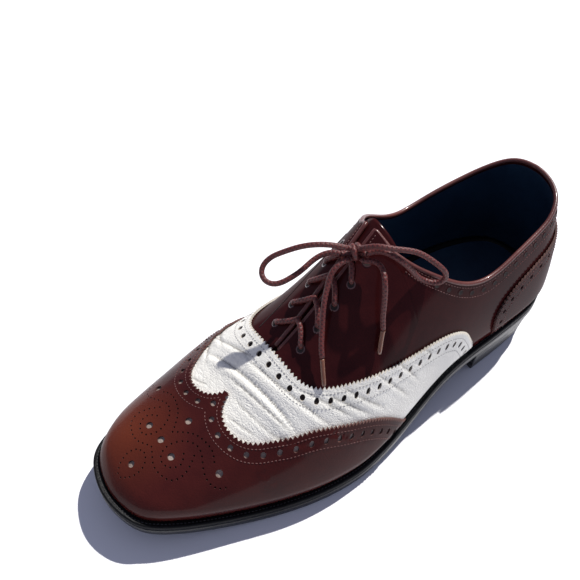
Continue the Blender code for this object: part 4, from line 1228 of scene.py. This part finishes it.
def make_upper(brown, lining):
    """The whole hollow upper as one grid: up the outside, over the crown and down the lining.

    Row k of a turn lies at the top angle x (1 - (1 - k / 55)^1.15), so that rows crowd towards
    the top. The crown row stands half the lean over the wall's middle.
    """
    turns = last.turns[::2]
    along = along_of(np.interp(turns, last.turns, last.widest[:, 1]))
    tops = np.where(along > THROAT_ALONG, math.pi / 2, last.top_at(turns))
    angle = tops[:, None] * (1 - (1 - np.linspace(0, 1, UPPER_ROWS)) ** UPPER_ROW_POWER)
    turn = np.repeat(turns[:, None], UPPER_ROWS, axis=1)
    outer, inner = (last.at(turn, angle, offset) for offset in (0.0, -WALL))
    for side in (outer, inner):
        side[:, 0, 2] = feather(side[:, 0, 1])
    crown = last.at(turn[:, -1:], angle[:, -1:], -WALL / 2)
    lean = last.at(turn[:, -1:], np.minimum(angle[:, -1:] + CROWN_LEAN, math.pi / 2), -WALL / 2) - crown
    layers = np.concatenate([outer, crown + lean * 0.5, inner[:, ::-1]], axis=1)
    count, rows = layers.shape[:2]
    row = np.arange(rows)
    lined = (row >= UPPER_ROWS + 4) & (row < rows - 1)
    faces = grid_faces(count, rows, True, True)[:, [0, 3, 2, 1]]
    thing = add_mesh("upper_leather", layers.reshape(-1, 3), faces, [brown, lining], np.tile(lined, count))
    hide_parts("upper")


def top_line(inset, side, start, stop, lift):
    """A line this far below the topline or facing edge, from one share of the length to another."""
    along = np.linspace(start, stop, int(abs(stop - start) * LENGTH / SEAM_STEP) + 2)
    turn = last.turn_at(along, side < 0)
    nearest = np.round(turn * TABLE_TURNS).astype(int) % TABLE_TURNS
    angle = []
    for top, k in zip(last.top_at(turn), nearest):
        run = way_along(last.place[k])
        angle.append(np.interp(np.interp(top, last.angles, run) - inset, run, last.angles))
    point = last.at(turn, np.array(angle), lift)
    return point, unit(last.at(turn, np.array(angle), lift + NORMAL_STEP) - point)


def discs_on(name, centres, normals, radius, rim, dark):
    """Punched holes seen as dished discs with a thin rolled rim, by the disc's profile; the middle of each
    disc is painted dark as the shade inside the hole.
    """
    normals = normals[:, None]
    side = unit(np.cross(normals, DISC_LEAN))
    across, up = circle(DISC_SIDES)
    spokes = across * side + up * np.cross(normals, side)
    centres = centres[:, None]
    rings = [centres + normals * DISC_PROFILE[0][1]]
    rings += [centres + spokes * radius * share + normals * height for share, height in DISC_PROFILE[1:]]
    points = np.concatenate(rings, axis=1)
    spot = np.arange(DISC_SIDES)
    after = (spot + 1) % DISC_SIDES
    faces, kinds = [], []
    for base in range(0, points.shape[0] * points.shape[1], points.shape[1]):
        faces += np.column_stack([np.full(DISC_SIDES, base), base + 1 + spot, base + 1 + after]).tolist()
        kinds += [1] * DISC_SIDES
        quads = grid_faces(len(DISC_PROFILE) - 1, DISC_SIDES, round_depth=True)[:, [0, 3, 2, 1]]
        faces += (quads + base + 1).tolist()
        kinds += [1] * DISC_SIDES + [0] * DISC_SIDES * (len(DISC_PROFILE) - 3)
    add_mesh(name, points.reshape(-1, 3), faces, [rim, dark], kinds)


def make_topline(brown, thread, dark, binding):
    """Bound edge, two stitch rows and the row of holes between them, round the whole collar."""
    for side, word in ((1, "lateral"), (-1, "medial")):
        lines = [top_line(inset, side, 0.02, 0.430, 0.0) for inset in COLLAR_SEAMS]
        lines.append(top_line(COLLAR_SEAMS[0], side, 0.440, 0.500, 0.0))
        stitches(f"collar_stitches_{word}", lines, thread)
        point, up = top_line(COLLAR_HOLES, side, 0.035, 0.420, 0.0001)
        run = way_along(point)
        ways = np.arange(COLLAR_HOLES_START, run[-1], HOLE_PITCH)
        centres, normals = at_ways(point, run, ways), at_ways(up, run, ways)
        discs_on(f"collar_holes_{word}", centres, normals, HOLE_RADIUS, brown, dark)
    seam, _ = top_line(FACING_SEAM_INSET, -1, 0.445, 0.640, 0.0)
    tube("facing_seam", seam, FACING_SEAM_RADIUS, dark, sides=6)
    turns = last.turns[::2]
    along = along_of(np.interp(turns, last.turns, last.widest[:, 1]))
    edge = turns[along < THROAT_ALONG - 0.004]
    edge = edge[np.argsort((edge + 0.5) % 1.0)]
    path = last.at(edge, last.top_at(edge), -WALL / 2)
    tube("collar_binding", spaced(path, BINDING_STEP), BINDING_RADIUS, binding, sides=10)


def make_eyelets(rim, dark):
    pairs = y_at(EYELET_FIRST_ALONG - EYELET_STEP_ALONG * np.arange(EYELET_PAIRS))
    spots = np.array([(side * EYELET_OUT, y) for y in pairs for side in (1, -1)])
    centres = last.flat(spots, 0.0001)
    # The middle of each eyelet is painted dark as the shade inside it.
    discs_on("eyelet_rings", centres, unit(last.flat(spots, 0.002) - centres), EYELET_RADIUS, rim, dark)


def make_tongue(brown):
    """The tongue as two grids a thickness apart, joined round their rim."""
    along = np.linspace(TONGUE_START_ALONG, TONGUE_TIP_ALONG, 60)
    y, x = np.meshgrid(y_at(along), np.linspace(-TONGUE_REACH, TONGUE_REACH, 41), indexing="ij")
    spots = np.column_stack([x.ravel(), y.ravel()])
    top = last.flat(spots, -WALL - TONGUE_CLEAR)
    low = last.flat(spots, -WALL - TONGUE_CLEAR - TONGUE_THICK)
    place = np.arange(x.size).reshape(x.shape)
    rim = np.concatenate([place[0], place[1:, -1], place[-1, -2::-1], place[-2:0:-1, 0]])
    ahead = np.roll(rim, -1)
    walls = np.column_stack([ahead, rim, rim + x.size, ahead + x.size])
    quads = grid_faces(*x.shape)
    faces = np.concatenate([quads, quads[:, ::-1] + x.size, walls])
    thing = add_mesh("tongue_leather", np.concatenate([top, low]), faces, [brown])
    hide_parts("tongue")


def sole_layer(name, profile, shares, material, node):
    """A sole layer: (inset, height) rows carried round the edge, then shares of the way to a spine.

    A row of turn t is edge(t, inset) at underside(y) + height; the spine is the middle of the sole's
    breadth at the same y, so that the last rows of both sides meet and close the layer. A layer
    without shares is a ring, closed from its last row to its first.
    """
    turns = last.turns[::2]
    rows = []
    for inset, height in profile:
        edge = edge_with_inset(turns, inset)
        rows.append(np.column_stack([edge, underside(edge[:, 1]) + height]))
    along = along_of(np.clip(rows[0][:, 1], float(y_at(SPINE_TOE_ALONG)), float(y_at(SPINE_HEEL_ALONG))))
    middle = (outline(last.turn_at(along, False)) + outline(last.turn_at(along, True))) / 2

    def inwards(rim, height):
        spots = [rim[:, :2] * (1 - share) + middle * share for share in shares]
        return [np.column_stack([spot, underside(spot[:, 1]) + height]) for spot in spots]

    rows = inwards(rows[0], profile[0][1])[::-1] + rows + inwards(rows[-1], profile[-1][1])
    points = np.stack(rows, axis=1)
    faces = grid_faces(*points.shape[:2], True, not shares)
    thing = add_mesh(name, points.reshape(-1, 3), faces, [material])
    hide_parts(node)


def make_soles(edge_black, welt_black_and_shade, thread):
    """Outsole and welt with rounded edges, and the thread that holds them."""
    sole_layer("outsole_leather", OUTSOLE_ROWS, SPINE_SHARES, edge_black, "outsole")
    sole_layer("welt_leather", WELT_ROWS, (), welt_black_and_shade, "welt")
    edge = edge_with_inset(last.turns, WELT_SEAM_INSET)
    line = np.column_stack([edge, underside(edge[:, 1]) + WELT_HIGH + WELT_SEAM_RISE])
    line = np.concatenate([line, line[:1]])
    stitches("welt_stitches", [(line, np.tile((0.0, 0.0, 1.0), (len(line), 1)))], thread)


def heel_outline(inset, front):
    """The sole edge behind the breast, closed by the curved breast line, from the back point on."""
    edge = edge_with_inset(last.turns, inset)
    behind = edge[:, 1] > front
    rear = edge[behind][np.argsort((last.turns[behind] + 0.5) % 1.0)]
    t = np.linspace(0, 1, 60)[1:-1, None]
    breast = rear[-1] * (1 - t) + rear[0] * t
    breast[:, 1] += BREAST_CURVE * (1 - (2 * t[:, 0] - 1) ** 2)
    ring = spaced(np.concatenate([rear, breast, rear[:1]]), 0.001)[:-1]
    ring = np.roll(ring, -int(np.argmax(ring[:, 1])), axis=0)
    return np.concatenate([ring, ring[:1]])


def heel_block(name, levels, material, node):
    """A heel layer: its outline at each (inset, height) level, capped at both ends.

    The inset grows with the drop below the seat by the heel's taper, and the breast slopes too.
    """
    rings = []
    for extra, height in levels:
        drop = 1 - height / HEEL_LIFT
        closed = heel_outline(SEAT_STEP + HEEL_TAPER * drop + extra, y_at(BREAST_ALONG) + BREAST_SLOPE * drop)
        run = way_along(closed)
        even = at_ways(closed, run, np.linspace(0, run[-1], HEEL_POINTS, endpoint=False))
        rings.append(np.column_stack([even, np.full(HEEL_POINTS, height)]))
    faces = grid_faces(len(rings), HEEL_POINTS, round_depth=True).tolist()
    faces += [range(HEEL_POINTS)[::-1], range((len(rings) - 1) * HEEL_POINTS, len(rings) * HEEL_POINTS)]
    thing = add_mesh(name, np.concatenate(rings), faces, [material], smooth=False)
    for polygon in thing.data.polygons[:-2]:
        polygon.use_smooth = True
    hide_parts(node)


def make_heel(edge_black):
    """The lifts with a fine groove at each seam, and the top piece under them."""
    levels = [(LIFT_GROOVE, TOP_PIECE_THICK + LIFT_GAP)]
    for seam in LIFT_SEAMS:
        levels += [(0.0, seam - LIFT_GROOVE_HALF), (LIFT_GROOVE, seam), (0.0, seam + LIFT_GROOVE_HALF)]
    levels.append((0.0, HEEL_LIFT - LIFTS_BELOW_SEAT))
    heel_block("heel_lifts", levels, edge_black, "heel_stack")
    levels = [(extra, height) for height, extra in TOP_PIECE_ROWS]
    heel_block("heel_top_rubber", levels, edge_black, "heel_top_piece")


def make_crossings(cord):
    """Laces across the facings, eyelet to eyelet.

    Over share s of the way out, from -1 to 1, a crossing runs y + 0.0075 (1 - |s|)^0.9
    + 0.0011 sin(pi s), arches by 0.0007 (1 - s^2), and sinks 4 mm into the eyelets from |s| = 0.86.
    """
    share = np.linspace(-1, 1, 61)
    for pair in range(EYELET_PAIRS - 1):
        y = float(y_at(EYELET_FIRST_ALONG - EYELET_STEP_ALONG * pair))
        bend = LACE_BEND * (1 - np.abs(share)) ** 0.9 + CROSS_LEAN * np.sin(share * math.pi)
        over = LACE_RADIUS * CROSS_REST + CROSS_ARCH * (1 - share**2)
        down = np.clip((np.abs(share) - CROSS_SINK_START) / (1 - CROSS_SINK_START), 0, 1) ** 1.5 * CROSS_SINK
        path = last.flat(np.column_stack([share * EYELET_OUT, y + bend]), over - down)
        path[1:-1] = (path[:-2] + path[1:-1] * 2 + path[2:]) / 4
        line = tube(f"lace_{pair + 1}", path, LACE_RADIUS, cord)
        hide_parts(f"lace_cross_{pair + 1}")


def make_bow(cord, tan):
    """The bow's loops and ends, their tips, and the knot: one wrap round three cores."""
    pieces = {}
    for name, points in (("bow_loop_medial", LOOP_MEDIAL), ("bow_loop_lateral", LOOP_LATERAL),
                         ("bow_end_medial", END_MEDIAL), ("bow_end_lateral", END_LATERAL)):
        path = route(points)
        piece = tube(name + "_lace", path, LACE_RADIUS, cord)
        pieces[name] = (piece, path)
        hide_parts(name)
    tips = {}
    for name, points in (("aglet_medial", AGLET_MEDIAL), ("aglet_lateral", AGLET_LATERAL)):
        path = route(points, TIP_STEP)
        share = np.linspace(0, 1, len(path))
        taper = AGLET_RADIUS * (1 - 0.25 * np.clip((share - 0.85) / 0.15, 0, 1) ** 2)
        taper = taper * (1 + 0.05 * np.exp(-((share - 0.04) / 0.03) ** 2))
        tips[name] = tube(name + "_tip", path, LACE_RADIUS, tan, taper=taper)
        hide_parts(name)
    turn = np.linspace(-WRAP_OVERLAP, 2 * math.pi + WRAP_OVERLAP, 60)[:, None]
    lead = unit(np.array(WRAP_LEAD))
    side = unit(np.cross(lead, (0, 0, 1.0)))
    up = np.cross(side, lead)
    wrap = np.array(KNOT_CENTRE) + WRAP_RADII[0] * np.cos(turn) * up + WRAP_RADII[1] * np.sin(turn) * side
    wrap += (turn - math.pi) * WRAP_ADVANCE * lead
    knot_piece = tube("bow_knot_wrap", wrap * MM, LACE_RADIUS, cord)
    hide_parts("bow_knot")
    for number, points in enumerate(KNOT_CORES):
        tube(f"bow_knot_core_{number + 1}", route(points, CORE_STEP), LACE_RADIUS, cord)
    for name, far, extra in (("bow_loop_medial", "knot", [knot_piece]), ("bow_loop_lateral", "knot", []),
                             ("bow_end_medial", "fitting", [tips["aglet_medial"]]),
                             ("bow_end_lateral", "fitting", [tips["aglet_lateral"]])):
        piece, path = pieces[name]


def make_stage():
    """A pale floor under one hard sun and a plain sky."""
    mesh = bpy.data.meshes.new("floor")
    corners = [(-1, -1), (1, -1), (1, 1), (-1, 1)]
    mesh.from_pydata([(x * FLOOR_REACH, y * FLOOR_REACH, 0) for x, y in corners], [], [(0, 1, 2, 3)])
    material, _, shader = new_material("pale floor")
    shader.inputs["Base Color"].default_value = FLOOR_COLOUR
    shader.inputs["Roughness"].default_value = 0.75
    mesh.materials.append(material)
    floor = bpy.data.objects.new("floor", mesh)
    bpy.context.collection.objects.link(floor)
    sun = bpy.data.lights.new("sun", "SUN")
    sun.energy = SUN_STRENGTH
    sun.angle = math.radians(SUN_ANGLE)
    sun.color = SUN_COLOUR
    lamp = bpy.data.objects.new("sun", sun)
    lamp.rotation_mode = "QUATERNION"
    lamp.rotation_quaternion = Vector(SUN_TRAVEL).to_track_quat("-Z", "Y")
    bpy.context.collection.objects.link(lamp)
    world = bpy.data.worlds.new("sky")
    world.use_nodes = True
    sky = world.node_tree.nodes["Background"]
    sky.inputs["Color"].default_value = SKY_COLOUR
    sky.inputs["Strength"].default_value = SKY_STRENGTH
    bpy.context.scene.world = world
    bpy.context.scene.view_settings.view_transform = "Standard"


def make_camera():
    camera = bpy.data.cameras.new("camera")
    camera.sensor_width = SENSOR_WIDTH
    camera.lens = CAMERA_FOCAL_PIXELS * SENSOR_WIDTH / PHOTO_SIZE
    thing = bpy.data.objects.new("camera", camera)
    right, down, forward = (Vector(v) for v in (CAMERA_RIGHT, CAMERA_DOWN, CAMERA_FORWARD))
    turn = Matrix((right, -down, -forward)).transposed().to_4x4()
    turn.translation = Vector(CAMERA_PLACE)
    thing.matrix_world = turn
    bpy.context.collection.objects.link(thing)
    bpy.context.scene.camera = thing


last = Last()
grain_tree = grain_group()
make_camera()
make_stage()

oxblood = leather("oxblood leather", (0.025, 0.0042, 0.0050), (0.046, 0.0080, 0.0078), 0.36, 520, 1500,
                  0.10, coat=0.22, coat_roughness=0.15, gloss=0.0)
cap_brown = leather("burnished cap leather", (0.030, 0.0052, 0.0054), (0.056, 0.0098, 0.0082), 0.34, 520,
                    1500, 0.12, coat=0.24, coat_roughness=0.13, gloss=0.03, patch=TOE_PATCH)
# The white leather's crease troughs are tinted with the crease shade colour: painted shade.
white = leather("pebbled white leather", (0.81, 0.80, 0.735), (0.92, 0.91, 0.845), 0.46, 620, 1500, 0.30,
                coat=0.08, coat_roughness=0.35, wrinkle=1.5, gloss=0.30, painted_crease_shade=CREASE_SHADE_COLOUR)
lining = leather("navy lining leather", (0.0030, 0.0200, 0.0500), (0.0070, 0.0380, 0.0800), 0.62, 900,
                 1800, 0.15)
edge_black = leather("burnished sole edge", (0.0030, 0.0034, 0.0042), (0.0085, 0.0094, 0.0118), 0.34, 300,
                     1500, 0.25, coat=0.25, coat_roughness=0.24, gloss=0.30)
# The welt is black, and darkened further as painted shade, so that it reads as the dark band in shade between
# the upper and the sole edge.
welt_black_and_shade = leather("black welt with painted shade", (0.0012, 0.0014, 0.0019), (0.0034, 0.0038, 0.0048), 0.46, 300, 1500,
                     0.15, coat=0.06, coat_roughness=0.3, gloss=0.12)
cut_brown = leather("cut edge of brown leather", (0.050, 0.015, 0.014), (0.12, 0.055, 0.046), 0.7, 900,
                    2200, 0.3)
cut_white = leather("cut edge of white leather", (0.34, 0.31, 0.27), (0.62, 0.58, 0.52), 0.75, 900, 2200, 0.3)
binding = leather("binding", (0.070, 0.017, 0.016), (0.15, 0.050, 0.042), 0.35, 600, 1500, 0.1, coat=0.3,
                  gloss=0.3)
brown_thread = leather("brown thread", (0.090, 0.028, 0.026), (0.22, 0.100, 0.088), 0.5, 2500, 4000, 0.2)
pale_thread = leather("grey thread", (0.34, 0.33, 0.31), (0.56, 0.55, 0.52), 0.6, 2500, 4000, 0.2)
welt_thread = leather("welt thread", (0.008, 0.009, 0.011), (0.020, 0.021, 0.024), 0.6, 2500, 4000, 0.2)
# Grey-brown painted shade for the white leather seen under the cap's holes.
hole_shade = leather("painted shade under a hole", (0.22, 0.17, 0.145), (0.36, 0.30, 0.26), 0.7, 900, 1500, 0.3)
# Near-black painted shade inside holes, pinholes and eyelets; also the dark line of the facing seam.
hole_shade_and_seam_dark = leather("painted hole shade and dark seam", (0.010, 0.006, 0.006), (0.022, 0.012, 0.010), 0.8, 900, 1500, 0.1)
eyelet_rim = leather("lacquered eyelet rim", (0.050, 0.012, 0.010), (0.10, 0.03, 0.024), 0.18, 520, 1500,
                     0.05, coat=0.9, coat_roughness=0.08)
# The cord's dark and light colours are its shaded and lit tones, painted as shade and light along the braid.
cord = cord_material("waxed burgundy cord", (0.028, 0.0042, 0.0046), (0.120, 0.020, 0.018), 0.50)
tan = leather("lace tip film", (0.12, 0.040, 0.022), (0.22, 0.095, 0.052), 0.26, 900, 2500, 0.08, coat=0.5)

make_soles(edge_black, welt_black_and_shade, welt_thread)
make_heel(edge_black)
make_upper(oxblood, lining)
make_forepart(cap_brown, white, cut_brown, cut_white, brown_thread, pale_thread, hole_shade, hole_shade_and_seam_dark)
make_counter(oxblood, cut_brown, brown_thread, hole_shade_and_seam_dark)
make_topline(oxblood, brown_thread, hole_shade_and_seam_dark, binding)
make_eyelets(eyelet_rim, hole_shade_and_seam_dark)
make_tongue(oxblood)
make_crossings(cord)
make_bow(cord, tan)
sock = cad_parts["insole"]
sock.data.materials.clear()
sock.data.materials.append(lining)
